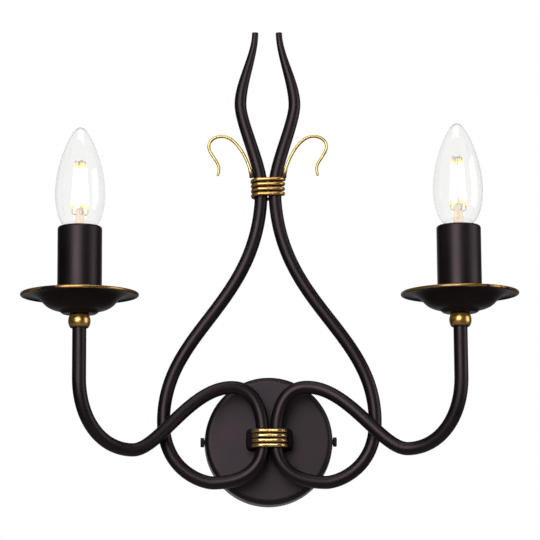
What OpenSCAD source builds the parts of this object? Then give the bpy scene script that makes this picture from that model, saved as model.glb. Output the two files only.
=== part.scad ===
// Two-light wall lamp with scrolled tube arms, gilt bindings and candle bulbs.
// Millimetres. X runs to the right, Y into the wall and Z up. The origin lies on the wall
// at the middle of the round back plate, and the lamp stands out from the wall towards -Y.

/* [Overall] */
// Distance between the two candle axes
candle_spacing = 263; // [250:1:290]
// Distance from the wall to the candle axes
candle_reach = 83; // [76:1:95]
// Distance from the wall to the middle of the scrolled tubes
tube_reach = 40; // [38:0.5:44]
// Height of the cut tips above the middle of the back plate
tip_rise = 293; // [284:1:310]
// Height of the drip pan rims above the middle of the back plate
pan_rise = 96; // [90:1:110]

/* [Scrolled tubes] */
// Diameter of the tube where it reaches the candle
arm_tube_d = 9.8; // [9.2:0.1:10.4]
// Diameter of the tube in the loops and the long drop
scroll_tube_d = 9.3; // [8.6:0.1:9.6]
// Diameter of the tube where the two are tied under the finial
waist_tube_d = 9.2; // [8.6:0.1:9.6]
// Diameter at the widest place of the finial
finial_tube_d = 8.6; // [7.6:0.1:9]
// Diameter of the cut tip
tip_tube_d = 4.6; // [4:0.1:6]
// Wall of the tubes
tube_wall = 1.1; // [0.9:0.1:1.3]
// Gap between the two tubes at the hub
pair_gap = 0.6; // [0.5:0.1:1.6]
// Gap between the two tubes at the tied waist
waist_gap = 0.4; // [0.3:0.1:1]
// Height of the tied waist above the middle of the back plate
waist_rise = 179.5; // [174:0.5:186]
// How far the finial swells out from the centre line
finial_swell = 19.4; // [16:0.2:24]
// How far the long drop swings out from the centre line
drop_swing = 74.5; // [70:0.5:80]
// How far the lower loops hang below the middle of the back plate
loop_fall = 31; // [29:0.5:34]
// How high the upper loops rise above the middle of the back plate
loop_rise = 36; // [34:0.5:39]
// How far the arms dip below the middle of the back plate
arm_dip = 9.5; // [6:0.5:12]

/* [Back plate] */
// Diameter of the back plate at the wall
plate_d = 92; // [90:1:100]
// Depth of the back plate
plate_depth = 22; // [20.5:0.5:24]
// Radius of the rounded shoulder
plate_shoulder = 4; // [3:0.5:6]
// How much the side wall leans in
plate_lean = 0.6; // [0.2:0.1:1]
// Sheet thickness of the back plate
plate_wall = 1; // [0.8:0.1:1.4]

/* [Wall strap] */
// Distance between the middles of the two screw slots
slot_spacing = 64; // [62:1:66]
// Length of each slot from end to end
slot_length = 11; // [9:0.5:12]
// Width of each slot
slot_w = 5; // [4.5:0.5:6]
// Height of the strap
strap_w = 22; // [21:1:24]
// Thickness of the strap
strap_t = 2; // [1.8:0.1:2.4]
// Diameter of the cable entry in the strap
cable_entry_d = 15; // [12:1:16]
// Distance from the wall to the thumbscrews
thumb_reach = 8; // [7:0.5:10]
// Diameter of the thumbscrew thread
thumb_thread_d = 4; // [3:0.5:4]
// Diameter of the knurled head
thumb_head_d = 6.8; // [6.4:0.2:8]
// Thickness of the knurled head
thumb_head_t = 2.7; // [2.4:0.1:4]

/* [Hub] */
// Width of the hub block
hub_w = 32.6; // [31:0.2:36]
// Height of the hub block
hub_h = 14.8; // [14.6:0.2:18]
// Corner radius of the hub block
hub_corner = 3.5; // [2:0.5:5]
// Diameter of the hollow hub stud
stud_d = 10; // [9.5:0.5:10]
// Bore of the hollow hub stud
stud_bore = 7; // [6.6:0.2:7.4]
// Wire diameter of the gilt binding over the hub
bind_wire_d = 3; // [2.6:0.1:3.2]
// Distance between the wires of the binding
bind_pitch = 3.4; // [3.3:0.1:3.6]

/* [Finial wrap and hooks] */
// Wire diameter of the gilt wrap
wrap_wire_d = 2.7; // [2.2:0.1:2.9]
// Climb of the wrap in one turn
wrap_pitch = 3.5; // [3.4:0.05:3.8]
// Number of turns
wrap_turns = 4; // [3:1:6]
// Thickness of the flattened hooks as seen from the front
hook_t = 2.1; // [1.6:0.1:2.4]
// Width of the hooks from front to back
hook_w = 3; // [2.4:0.1:3.6]
// How far the hooks reach from the centre line
hook_reach = 42.2; // [38:0.2:46]
// How high the hooks rise above the tied waist
hook_rise = 37.5; // [34:0.5:41]

/* [Candles] */
// Outer diameter of the drip pans
pan_d = 82; // [78:1:90]
// Depth of the drip pans from rim to foot
pan_depth = 13.3; // [12.8:0.1:16]
// Sheet thickness of the drip pans
pan_wall = 1; // [0.8:0.1:1.2]
// Radius of the rolled rim
rim_r = 1.2; // [1:0.1:1.5]
// Diameter of the gilt bead
bead_d = 15.6; // [14.6:0.2:17]
// Height of the gilt bead
bead_h = 9.6; // [9:0.2:10.4]
// Diameter of the hollow nipple through each candle
nipple_d = 8; // [7.8:0.1:8.2]
// Bore of the hollow nipple
nipple_bore = 5.6; // [5.2:0.1:5.8]
// Outer diameter of the candle sleeve
sleeve_d = 30.9; // [30:0.1:33]
// Wall of the candle sleeve
sleeve_wall = 1.2; // [1:0.1:1.4]
// Height of the candle sleeve top above the pan rim
sleeve_rise = 48; // [46:0.5:49]
// Radius of the sleeve's rounded shoulder
sleeve_shoulder = 2; // [1.6:0.1:2.4]
// Diameter of the lampholder body
holder_d = 24; // [23.4:0.2:25]
// Height of the lampholder body
holder_h = 50; // [48:0.5:50.5]
// How much higher the right lampholder stands on its nipple
right_holder_raise = 2.5; // [0:0.5:3]

/* [Bulbs] */
// Widest diameter of the bulb glass
glass_d = 35; // [33:0.5:36]
// Height of the glass above the lampholder
glass_h = 73.4; // [70:0.2:80]
// Thickness of the glass
glass_wall = 0.8; // [0.6:0.1:1]
// Diameter of the bulb's threaded cap
cap_d = 13.9; // [13.6:0.1:14]
// Length of the cap with its contact
cap_h = 25; // [24:0.5:26]
// Number of glowing filaments
filament_count = 4; // [2:1:6]
// Length of a filament
filament_length = 31; // [28:1:36]

/* [Wiring] */
// Diameter of an insulated wire
wire_d = 1.6; // [1.4:0.1:1.7]
// Width of the terminal block
block_w = 16; // [15:0.5:17]
// Height of the terminal block
block_h = 17; // [15:0.5:18]
// Depth of the terminal block from back to front
block_depth = 12.5; // [12:0.5:13]

/* [Clearances] */
// Radial play of threads and shafts in their holes
thread_play = 0.05; // [0.02:0.01:0.08]
// Gap between curved pieces that seat on one another
seat_gap = 0.15; // [0.1:0.05:0.3]
// Gap between pieces that move past one another
slide_gap = 0.3; // [0.2:0.05:0.4]

/* [Hidden] */
$fn = 64;

// Side signs
LEFT = -1;
RIGHT = 1;

// Colours
PAINT = [0.13, 0.11, 0.11];
GILT = [0.72, 0.53, 0.22];
ZINC = [0.75, 0.75, 0.76];
BRASS = [0.78, 0.64, 0.35];
WHITE = [0.9, 0.9, 0.87];
GLASS = [0.85, 0.92, 0.95, 0.35];
GLOW = [1, 0.86, 0.5];

// Radii and places worked out from the driving sizes
candle_x = candle_spacing / 2;
pair_x = (scroll_tube_d + pair_gap) / 2;
waist_x = (waist_tube_d + waist_gap) / 2;
plate_face_r = plate_d / 2 - plate_lean - plate_shoulder;
plate_inner_depth = plate_depth - plate_wall;
stud_r = stud_d / 2 - thread_play;
stud_inner_end = 13;
stud_grip = 7;
stud_len = plate_depth + stud_grip - stud_inner_end;
stud_chamfer = 0.8;
washer_t = 1;
stud_nut_t = 4.5;
stud_nut_flats = 14;
hub_front = tube_reach - scroll_tube_d / 2 + 1;
hub_straight = hub_h / 2 + 0.2;
wire_hole_r = 3;

// Candle heights, from the drip pan upwards
pan_foot_z = pan_rise - pan_depth;
bead_z = pan_foot_z - bead_h;
tube_seat = 1.4;
tube_top_z = bead_z + tube_seat - seat_gap;
pan_hollow = 3.4;
pan_floor_z = pan_foot_z + pan_hollow;
pan_nut_t = 4;
pan_nut_flats = 14;
holder_z = pan_floor_z + pan_nut_t + 0.2;
nipple_r = nipple_d / 2 - thread_play;
nipple_grip = 12;
holder_base_t = 5;
nipple_top_z = holder_z + right_holder_raise + holder_base_t;
nipple_z = tube_top_z - nipple_grip;
holder_top_z = holder_z + holder_h;
sleeve_top_z = pan_rise + sleeve_rise;
sleeve_z = pan_floor_z + slide_gap;

// Bulb heights, measured from the top of the lampholder
glass_z = holder_top_z + 0.7;
cap_r = cap_d / 2;
neck_r = cap_r - 0.35;
cap_bottom_z = glass_z - cap_h;
contact_t = 1.6;
insulator_t = 5;
socket_floor_z = cap_bottom_z - 2.6;
shell_r = cap_r + 0.25;
shell_wall = 0.4;

function side_raise(side) = side == RIGHT ? right_holder_raise : 0;

// Vector helpers
function unit(v) = v / norm(v);
function blend(a, b, t) = a + (b - a) * t;

// A station is [point, heading, handle in, handle out, radius]. Two stations are
// joined by one cubic span that leaves and meets them along their headings.
function span_handle_out(s) = s[0] + s[1] * s[3];
function span_handle_in(s) = s[0] - s[1] * s[2];
function cubic(a, b, c, d, t) =
    a * pow(1 - t, 3) + b * 3 * t * pow(1 - t, 2) + c * 3 * t * t * (1 - t) + d * pow(t, 3);
function span_point(s, e, t) = cubic(s[0], span_handle_out(s), span_handle_in(e), e[0], t);
function span_length(s, e, parts = 8) =
    [for (i = [1 : parts]) norm(span_point(s, e, i / parts) - span_point(s, e, (i - 1) / parts))]
    * [for (i = [1 : parts]) 1];

// Points [x, y, z] with their radius, one about every step millimetres
function route(stations, step) = concat(
    [for (k = [0 : len(stations) - 2])
        let (s = stations[k], e = stations[k + 1],
             parts = max(1, ceil(span_length(s, e) / step)))
        for (i = [0 : parts - 1])
            [span_point(s, e, i / parts), blend(s[4], e[4], i / parts)]],
    [[stations[len(stations) - 1][0], stations[len(stations) - 1][4]]]);

// Directions along a row of points, and normals carried along it without twist
function heading(path, i) =
    unit(path[min(i + 1, len(path) - 1)][0] - path[max(i - 1, 0)][0]);
function flattened(n, t) = unit(n - t * (n * t));
function normals(path, first) = [
    for (i = 0, n = flattened(first, heading(path, 0));
         i < len(path);
         i = i + 1, n = i < len(path) ? flattened(n, heading(path, i)) : n)
        n];

// One ring of a swept tube; flat is the ring's size along the carried normal
// over its size across it
function ring(centre, r, n, t, sides, flat) =
    let (b = cross(t, n))
    [for (k = [0 : sides - 1])
        centre + n * (r * flat * cos(360 * k / sides)) + b * (r * sin(360 * k / sides))];

function ring_faces(rings, sides, first, inward) = [
    for (i = [0 : rings - 2], k = [0 : sides - 1])
        let (a = first + i * sides + k,
             b = first + i * sides + (k + 1) % sides,
             c = a + sides,
             d = b + sides)
        each inward ? [[a, b, d], [a, d, c]] : [[a, c, d], [a, d, b]]];

// A ring closed by triangles that all start from its first corner
function cap_faces(first, sides, at_end) = [
    for (k = [1 : sides - 2])
        at_end ? [first, first + k + 1, first + k] : [first, first + k, first + k + 1]];

function swept_rings(path, first_normal, sides, flat) =
    let (n = normals(path, first_normal))
    [for (i = [0 : len(path) - 1])
        each ring(path[i][0], path[i][1], n[i], heading(path, i), sides, flat)];

// A solid tube along a path, closed flat at both ends
module swept_solid(path, first_normal, sides, flat = 1) {
    count = len(path);
    polyhedron(
        swept_rings(path, first_normal, sides, flat),
        concat(
            cap_faces(0, sides, false),
            ring_faces(count, sides, 0, false),
            cap_faces((count - 1) * sides, sides, true)));
}

// A hollow tube along a path: closed at its first end, open at its last.
// The bore takes every second ring from ring bore_from on.
module swept_pipe(path, bore, first_normal, sides) {
    count = len(path);
    bore_count = len(bore);
    outer = count * sides;
    polyhedron(
        concat(
            swept_rings(path, first_normal, sides, 1),
            swept_rings(bore, first_normal, sides, 1)),
        concat(
            cap_faces(0, sides, false),
            ring_faces(count, sides, 0, false),
            [for (k = [0 : sides - 1])
                let (a = (count - 1) * sides + k,
                     b = (count - 1) * sides + (k + 1) % sides,
                     c = outer + (bore_count - 1) * sides + k,
                     d = outer + (bore_count - 1) * sides + (k + 1) % sides)
                each [[a, d, b], [a, c, d]]],
            ring_faces(bore_count, sides, outer, true),
            cap_faces(outer, sides, true)));
}

// The stations of one scrolled tube, from its cut tip to the candle. The angle is
// the heading in the front view, and lean is how fast the tube comes forward.
FINIAL = 1;
WAIST = 2;
HUB_OUT = 6;
tube_sides = 12;
tube_step = 5.6;
tip_x = waist_x + 3.8;
finial_z = waist_rise + 61;
drop_z = 12;
low_x = drop_swing - 35;
loop_x = 26;
dip_x = candle_x - 36;
dip_reach = blend(tube_reach, candle_reach, 0.56);
bend_z = 39;
arm_lean = (candle_reach - tube_reach) / 130;

function station(side, x, reach, z, angle, lean, h_in, h_out, d) =
    [[side * x, -reach, z], [side * cos(angle), -lean, sin(angle)], h_in, h_out, d / 2];

function scroll_stations(side) = [
    station(side, tip_x, tube_reach, tip_rise, -90, 0, 0, 16, tip_tube_d),
    station(side, finial_swell, tube_reach, finial_z, -90, 0, 16, 14, finial_tube_d),
    station(side, waist_x, tube_reach, waist_rise, -90, 0, 17, 85, waist_tube_d),
    station(side, drop_swing, tube_reach, drop_z, -90, 0, 66, 34, scroll_tube_d),
    station(side, low_x, tube_reach, -loop_fall, 180, 0, 8, 32, scroll_tube_d),
    station(side, pair_x, tube_reach, -hub_straight, 90, 0, 2, 4, scroll_tube_d),
    station(side, pair_x, tube_reach, hub_straight, 90, 0, 4, 2, scroll_tube_d),
    station(side, loop_x, tube_reach + 1, loop_rise, 0, arm_lean * 0.4, 20, 30, 9.3),
    station(side, dip_x, dip_reach, -arm_dip, 0, arm_lean, 18, 22, scroll_tube_d),
    station(side, candle_x, candle_reach, bend_z, 90, 0, 28, 5, arm_tube_d),
    station(side, candle_x, candle_reach, tube_top_z - nipple_grip, 90, 0, 5, 3, arm_tube_d),
    station(side, candle_x, candle_reach, tube_top_z, 90, 0, 3, 0, arm_tube_d)
];

// The bore starts behind the cut tip, narrows with the tube, and opens out to seat
// the nipple at the candle end
tip_solid = 2;
nipple_seat_r = (nipple_d / 2) / cos(180 / tube_sides) + thread_play;
function in_nipple_seat(p) = p[2] >= tube_top_z - nipple_grip - 0.01;
function bore_path(path) = concat(
    [for (i = [tip_solid : 2 : len(path) - 3])
        if (!in_nipple_seat(path[i][0])) [path[i][0], path[i][1] - tube_wall]],
    let (last = len(path) - 1, top = path[last][0], step_z = [0, 0, -nipple_grip])
    [[top + step_z - [0, 0, 0.4], path[last][1] - tube_wall],
     [top + step_z, nipple_seat_r],
     [top, nipple_seat_r]]);

module scroll_tube(side) {
    path = route(scroll_stations(side), tube_step);
    color(PAINT)
    difference() {
        swept_pipe(path, bore_path(path), [0, 1, 0], tube_sides);
        translate([side * pair_x, -tube_reach, 0])
            rotate([-90, 0, 0])
                cylinder(r = wire_hole_r, h = scroll_tube_d);
    }
}

// Wall strap: a flat bar with rounded bends into two tapped ends
strap_end_x = plate_d / 2 - plate_lean - plate_wall - 1.6;
strap_end_w = 14;
strap_end_reach = thumb_reach + 6;
strap_bend_r = strap_t + 1;
earth_x = 16;
block_x = -17.5;
thumb_hole_r = thumb_thread_d / 2;
small_screw_r = 1.5;

module strap_half_profile() {
    square([strap_end_x - strap_bend_r, strap_t]);
    translate([strap_end_x - strap_t, strap_bend_r])
        square([strap_t, strap_end_reach - strap_bend_r]);
    translate([strap_end_x - strap_bend_r, strap_bend_r])
        intersection() {
            difference() {
                circle(r = strap_bend_r);
                circle(r = strap_bend_r - strap_t);
            }
            translate([0, -strap_bend_r])
                square(strap_bend_r);
        }
}

module strap_profile() {
    strap_half_profile();
    mirror([1, 0]) strap_half_profile();
}

// A round-ended slot through a plate, along X
module slot(length, w, through) {
    for (s = [LEFT, RIGHT])
        translate([s * (length - w) / 2, 0, 0])
            cylinder(d = w, h = through, center = true);
    cube([length - w, w, through], center = true);
}

// Turns something drawn upwards so that it points out from the wall
module facing_room() {
    rotate([90, 0, 0]) children();
}

module wall_strap() {
    flat_end = strap_end_x - strap_bend_r;
    color(ZINC)
    difference() {
        translate([0, 0, -strap_w / 2])
            linear_extrude(strap_w)
                mirror([0, 1]) strap_profile();
        for (s = [LEFT, RIGHT], v = [0, 1])
            mirror([0, 0, v])
                translate([s > 0 ? flat_end : -flat_end - strap_w, -strap_end_reach - 1, strap_end_w / 2])
                    cube([strap_w, strap_end_reach + 2, strap_w]);
        for (s = [LEFT, RIGHT]) {
            translate([s * slot_spacing / 2, 0, 0])
                facing_room() slot(slot_length, slot_w, 4 * strap_t);
            translate([s * strap_end_x, -thumb_reach, 0])
                rotate([0, 90, 0])
                    cylinder(r = thumb_hole_r, h = 4 * strap_t, center = true);
        }
        facing_room() cylinder(d = cable_entry_d, h = 4 * strap_t, center = true);
        for (x = [earth_x, block_x])
            translate([x, 0, 0])
                facing_room()
                    cylinder(r = small_screw_r + thread_play, h = 4 * strap_t, center = true);
    }
}

// Back plate: a shallow dome of sheet steel, open to the wall
module plate_profile(inset) {
    r = plate_d / 2 - inset;
    depth = plate_depth - inset;
    corner = plate_shoulder - inset;
    side_depth = depth - corner;
    side_r = r - plate_lean;
    polygon([[0, 0], [r, 0], [side_r, side_depth], [0, side_depth]]);
    square([side_r - corner, depth]);
    translate([side_r - corner, side_depth])
        intersection() {
            circle(r = corner);
            square(corner);
        }
}

module canopy() {
    color(PAINT)
    difference() {
        facing_room() rotate_extrude($fn = 128) plate_profile(0);
        translate([0, 1, 0])
            facing_room()
                cylinder(r = plate_d / 2 - plate_wall - plate_lean, h = 1.01 + plate_wall);
        facing_room() rotate_extrude($fn = 128) plate_profile(plate_wall);
        translate([0, -plate_inner_depth + 1, 0])
            facing_room() cylinder(d = stud_d + 4 * thread_play, h = plate_wall + 2);
        translate([0, -thumb_reach, 0])
            rotate([0, 90, 0])
                cylinder(r = thumb_hole_r + slide_gap, h = 2 * plate_d, center = true);
    }
}

// Thumbscrew: knurled head outside the back plate, thread into the strap's end
thumb_head_x = plate_d / 2 + 0.1;
thumb_length = thumb_head_x - strap_end_x + strap_t + 4;
knurl_teeth = 20;
knurl_depth = 0.3;

module knurled_head() {
    linear_extrude(thumb_head_t)
        polygon([for (i = [0 : 2 * knurl_teeth - 1])
            let (r = thumb_head_d / 2 - (i % 2) * knurl_depth, a = 180 * i / knurl_teeth)
            [r * cos(a), r * sin(a)]]);
}

module thumbscrew(side) {
    color(PAINT)
    translate([side * thumb_head_x, -thumb_reach, 0])
        rotate([0, side * 90, 0]) {
            knurled_head();
            translate([0, 0, -thumb_length])
                cylinder(r = thumb_hole_r - thread_play, h = thumb_length + 0.5);
        }
}

// Hub: stud, washer and nut inside the back plate, block in front of it
module hub_stud() {
    color(ZINC)
    translate([0, -stud_inner_end, 0])
        facing_room()
            difference() {
                cylinder(r = stud_r, h = stud_len);
                translate([0, 0, -1])
                    cylinder(d = stud_bore, h = plate_depth + stud_grip);
                translate([0, 0, stud_len - stud_chamfer])
                    cylinder(d1 = stud_bore, d2 = stud_bore + 2 * stud_chamfer, h = stud_chamfer + 0.01);
            }
}

module hub_washer() {
    color(ZINC)
    translate([0, -plate_inner_depth + washer_t, 0])
        facing_room()
            difference() {
                cylinder(r = stud_d / 2 + 3.6, h = washer_t);
                translate([0, 0, -1])
                    cylinder(r = stud_d / 2 + seat_gap, h = washer_t + 2);
            }
}

module hex_nut(flats, bore_r, thickness) {
    difference() {
        cylinder(d = flats / cos(30), h = thickness, $fn = 6);
        translate([0, 0, -1])
            cylinder(r = bore_r, h = thickness + 2);
    }
}

module hub_nut() {
    color(ZINC)
    translate([0, -plate_inner_depth + washer_t + stud_nut_t, 0])
        facing_room() hex_nut(stud_nut_flats, stud_d / 2, stud_nut_t);
}

module rounded_rectangle(w, h, r) {
    square([w - 2 * r, h], center = true);
    square([w, h - 2 * r], center = true);
    for (x = [LEFT, RIGHT], y = [LEFT, RIGHT])
        translate([x * (w / 2 - r), y * (h / 2 - r)])
            circle(r = r);
}

saddle_play = 0.1;
cavity_w = 2 * (pair_x + wire_hole_r);
module hub_block() {
    color(PAINT)
    difference() {
        translate([0, -plate_depth, 0])
            facing_room()
                linear_extrude(hub_front - plate_depth)
                    rounded_rectangle(hub_w, hub_h, hub_corner);
        for (s = [LEFT, RIGHT])
            translate([s * pair_x, -tube_reach, 0])
                cylinder(r = scroll_tube_d / 2 + saddle_play, h = 2 * hub_h, center = true);
        translate([0, -plate_depth + 1, 0])
            facing_room() cylinder(d = stud_d, h = stud_grip + 1 + 0.2);
        translate([-cavity_w / 2, -hub_front - 1, -wire_hole_r])
            cube([cavity_w, hub_front + 1 - plate_depth - stud_grip, 2 * wire_hole_r]);
        for (s = [LEFT, RIGHT], i = [0 : 3])
            translate([s * bind_leg_x, -hub_front - 1, bind_wire_z(i)])
                rotate([-90, 0, 0])
                    cylinder(r = bind_wire_d / 2 + seat_gap, h = bind_leg_grip + 1);
    }
}

// Gilt binding: four wires bent over both tubes, their ends let into the block
bind_r = scroll_tube_d / 2 + bind_wire_d / 2 + seat_gap;
bind_leg_x = pair_x + bind_r;
bind_leg_grip = 2.5;
bind_sides = 8;
bind_bend_steps = 5;
function bind_wire_z(i) = (i - 1.5) * bind_pitch;
function bind_half(side, z) = [
    for (k = [0 : bind_bend_steps])
        let (a = 90 * k / bind_bend_steps)
        [[side * (pair_x + bind_r * sin(a)), -tube_reach - bind_r * cos(a), z], bind_wire_d / 2]];
function reversed(list) = [for (i = [len(list) - 1 : -1 : 0]) list[i]];
function bind_end(side, z) =
    [[side * bind_leg_x, -hub_front + bind_leg_grip - seat_gap, z], bind_wire_d / 2];

module hub_binding() {
    color(GILT)
    for (i = [0 : 3]) {
        z = bind_wire_z(i);
        swept_solid(
            concat([bind_end(LEFT, z)], reversed(bind_half(LEFT, z)),
                   bind_half(RIGHT, z), [bind_end(RIGHT, z)]),
            [0, 0, 1], bind_sides);
    }
}

// Gilt wrap: one wire wound round both tubes. Seen from above each turn is an
// arc about either tube with a straight run between them.
wrap_steps = 24;
wrap_sides = 6;
wrap_r = waist_tube_d / 2 + wrap_wire_d / 2 + seat_gap + 0.1;
wrap_squeeze = 4;
// How the tubes part above the waist: the sideways way over the square of the height
tube_parting = 0.014;
function wrap_point(turn) =
    let (a = 90 + 360 * turn,
         h = (turn - wrap_turns / 2) * wrap_pitch,
         shift = waist_x + tube_parting * pow(max(0, h), 2))
    [wrap_r * cos(a) + shift * max(-1, min(1, wrap_squeeze * cos(a))),
     wrap_r * sin(a) - tube_reach,
     waist_rise + h];
wrap_path = [for (i = [0 : wrap_turns * wrap_steps])
    [wrap_point(i / wrap_steps), wrap_wire_d / 2]];

// Least gap of the wrap to itself, between points at least half a turn apart
wrap_gap = min([for (i = [0 : len(wrap_path) - 1], j = [i + wrap_steps / 2 : len(wrap_path) - 1])
    norm(wrap_path[i][0] - wrap_path[j][0])]) - wrap_wire_d;
echo(str("Least gap of the finial wrap to itself in mm: ", wrap_gap));

module finial_wrap() {
    color(GILT)
        swept_solid(wrap_path, [0, 0, 1], wrap_sides);
}

// Gilt hooks: flattened strip that runs off the tube's outer side, over and back
hook_foot_share = 0.84;
hook_step = 3.4;
hook_sides = 8;
hook_curl_x = hook_reach - 7.2;
function hook_stations(side) =
    let (stations = scroll_stations(side),
         s = stations[FINIAL], e = stations[WAIST],
         near = span_point(s, e, hook_foot_share),
         up = unit(span_point(s, e, hook_foot_share - 0.02) - near),
         out = unit([side * up[2], 0, -side * up[0]]),
         r = blend(s[4], e[4], hook_foot_share) + hook_t / 2 + seat_gap,
         top_z = waist_rise + hook_rise,
         y = -tube_reach)
    [[near + out * r, up, 0, 14, hook_t / 2],
     [[side * (hook_reach - 9.4), y, top_z], [side, 0, 0], 10, 5.4, hook_t / 2],
     [[side * hook_reach, y, top_z - 7.6], [0, 0, -1], 4.4, 5, hook_t / 2],
     [[side * hook_curl_x, y, top_z - 23.5], [0, 0, -1], 5, 2.4, hook_t / 2 - 0.1],
     [[side * (hook_curl_x + 0.8), y, top_z - 28.4], unit([side * 0.3, 0, -1]), 1.6, 0, hook_t / 2 - 0.2]];

module hook(side) {
    color(GILT)
        swept_solid(route(hook_stations(side), hook_step), [0, 1, 0], hook_sides, hook_w / hook_t);
}

// Moves something drawn about the Z axis onto a candle axis
module at_candle(side) {
    translate([side * candle_x, -candle_reach, 0]) children();
}

module bead(side) {
    color(GILT)
    at_candle(side)
        difference() {
            translate([0, 0, bead_z + bead_h / 2])
                intersection() {
                    sphere(d = bead_d);
                    cylinder(d = bead_d + 1, h = bead_h, center = true);
                }
            cylinder(d = nipple_d + 2 * seat_gap, h = pan_rise);
            translate([0, 0, bead_z - 1])
                cylinder(r = arm_tube_d / 2 + seat_gap, h = tube_seat + 1);
        }
}

module nipple(side) {
    color(ZINC)
    at_candle(side)
        difference() {
            translate([0, 0, nipple_z])
                cylinder(r = nipple_r, h = nipple_top_z - nipple_z);
            translate([0, 0, nipple_z - 1])
                cylinder(d = nipple_bore, h = nipple_top_z - nipple_z + 2);
        }
}

// Drip pan: an ogee from the rolled rim to the bowl, then a small raised foot.
// Points are [radius, height] from the rim inwards, with the rim plane at zero.
pan_steps = 7;
rim_x = pan_d / 2 - rim_r;
pan_fall = pan_depth - 2.4;
flange_x = rim_x - 14.8;
flange_fall = pan_fall * 0.53;
bowl_x = rim_x - 24.6;
rim_steps = 12;
rim_lift = 0.2;
rim_join = 25;
function rim_point(a) = [rim_x + rim_r * cos(a), rim_lift + rim_r * sin(a)];
function curve2(a, b, c, d, steps) = [for (i = [0 : steps]) cubic(a, b, c, d, i / steps)];
function tail(list) = [for (i = [1 : len(list) - 1]) list[i]];
pan_outside = concat(
    curve2(rim_point(180 + rim_join), [rim_x - 6.3, -0.8], [flange_x + 3.6, 2.9 - flange_fall],
           [flange_x, -flange_fall], pan_steps),
    tail(curve2([flange_x, -flange_fall], [flange_x - 2.8, -flange_fall - 2.4],
                [bowl_x + 3.6, 0.7 - pan_fall], [bowl_x, -pan_fall], pan_steps)));
function outline_normal(p, i) =
    let (d = unit(p[min(i + 1, len(p) - 1)] - p[max(i - 1, 0)]))
    [d[1], -d[0]];
pan_inside = [for (i = [0 : len(pan_outside) - 1])
    pan_outside[i] + outline_normal(pan_outside, i) * pan_wall];
foot_r = 11.4;
pan_hole_r = nipple_d / 2 + seat_gap;

module drip_pan(side) {
    floor_h = pan_floor_z - pan_rise;
    color(PAINT)
    at_candle(side)
        translate([0, 0, pan_rise])
            rotate_extrude($fn = 96)
                polygon(concat(
                    pan_outside,
                    [[foot_r + 1.1, -pan_depth + 1.3], [foot_r, -pan_depth + 0.3],
                     [foot_r - 0.8, -pan_depth], [pan_hole_r, -pan_depth],
                     [pan_hole_r, floor_h], [bowl_x - 0.2, floor_h]],
                    [for (i = [len(pan_inside) - 2 : -1 : 1]) pan_inside[i]],
                    [for (i = [0 : rim_steps - 1])
                        rim_point(180 - rim_join - i * (360 - 2 * rim_join) / rim_steps)]));
}

module pan_nut(side) {
    color(ZINC)
    at_candle(side)
        translate([0, 0, pan_floor_z])
            hex_nut(pan_nut_flats, nipple_d / 2, pan_nut_t);
}

// Lampholder: a stepped insulating body with a window on either side of the terminals
holder_neck_r = 9.4;
chamber_r = 6.6;
chamber_top_z = socket_floor_z - 2.4;
window_w = 7;
terminal_x = 3.9;
module lampholder(side) {
    socket_r = shell_r + shell_wall + seat_gap;
    color(WHITE)
    at_candle(side)
        translate([0, 0, side_raise(side)])
            difference() {
                union() {
                    translate([0, 0, holder_z])
                        cylinder(r = holder_neck_r, h = holder_h);
                    translate([0, 0, chamber_top_z - 1])
                        cylinder(d = holder_d, h = holder_top_z - chamber_top_z + 1);
                }
                translate([0, 0, holder_z - 1])
                    cylinder(r = nipple_d / 2, h = holder_base_t + 2);
                translate([0, 0, holder_z + holder_base_t])
                    cylinder(r = chamber_r, h = chamber_top_z - holder_z - holder_base_t);
                translate([0, 0, (holder_z + holder_base_t + chamber_top_z) / 2 + 1])
                    cube([window_w, 3 * holder_neck_r, chamber_top_z - holder_z - holder_base_t - 4],
                         center = true);
                translate([0, 0, socket_floor_z])
                    cylinder(r = socket_r, h = holder_h);
                translate([0, 0, chamber_top_z - 1])
                    cylinder(r = contact_stem_r + seat_gap, h = holder_h);
            }
}

// Threaded shell of the lampholder, which takes the bulb's cap
module holder_shell(side) {
    color(BRASS)
    at_candle(side)
        translate([0, 0, socket_floor_z + side_raise(side)])
            difference() {
                cylinder(r = shell_r + shell_wall, h = holder_top_z - socket_floor_z - 2);
                translate([0, 0, -1])
                    cylinder(r = shell_r, h = holder_h);
            }
}

// Centre contact: a disc on a stem through the socket floor
contact_stem_r = 1;
contact_disc_r = 3.4;
contact_lift = 1;
module holder_contact(side) {
    color(BRASS)
    at_candle(side)
        translate([0, 0, socket_floor_z + side_raise(side)]) {
            translate([0, 0, contact_lift])
                cylinder(r = contact_disc_r, h = cap_bottom_z - socket_floor_z - contact_lift - slide_gap);
            translate([0, 0, chamber_top_z - socket_floor_z - 1.2])
                cylinder(r = contact_stem_r, h = contact_lift + 4);
        }
}

// Two terminals under the socket floor, each a brass post with a wire hole and a screw
terminal_post = [3.8, 5, 6];
terminal_wire_depth = 3;
module holder_terminals(side) {
    post_z = chamber_top_z - terminal_post[2];
    color(BRASS)
    at_candle(side)
        translate([0, 0, side_raise(side)])
            for (s = [LEFT, RIGHT])
                translate([s * terminal_x, 0, post_z])
                    difference() {
                        union() {
                            translate([-terminal_post[0] / 2, -terminal_post[1] / 2, 0])
                                cube(terminal_post);
                            translate([0, -terminal_post[1] / 2, terminal_post[2] / 2])
                                facing_room() cylinder(r = 1.4, h = 1.2);
                        }
                        translate([0, 0, -1])
                            cylinder(d = wire_d + 2 * seat_gap, h = terminal_wire_depth + 1);
                    }
}

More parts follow.
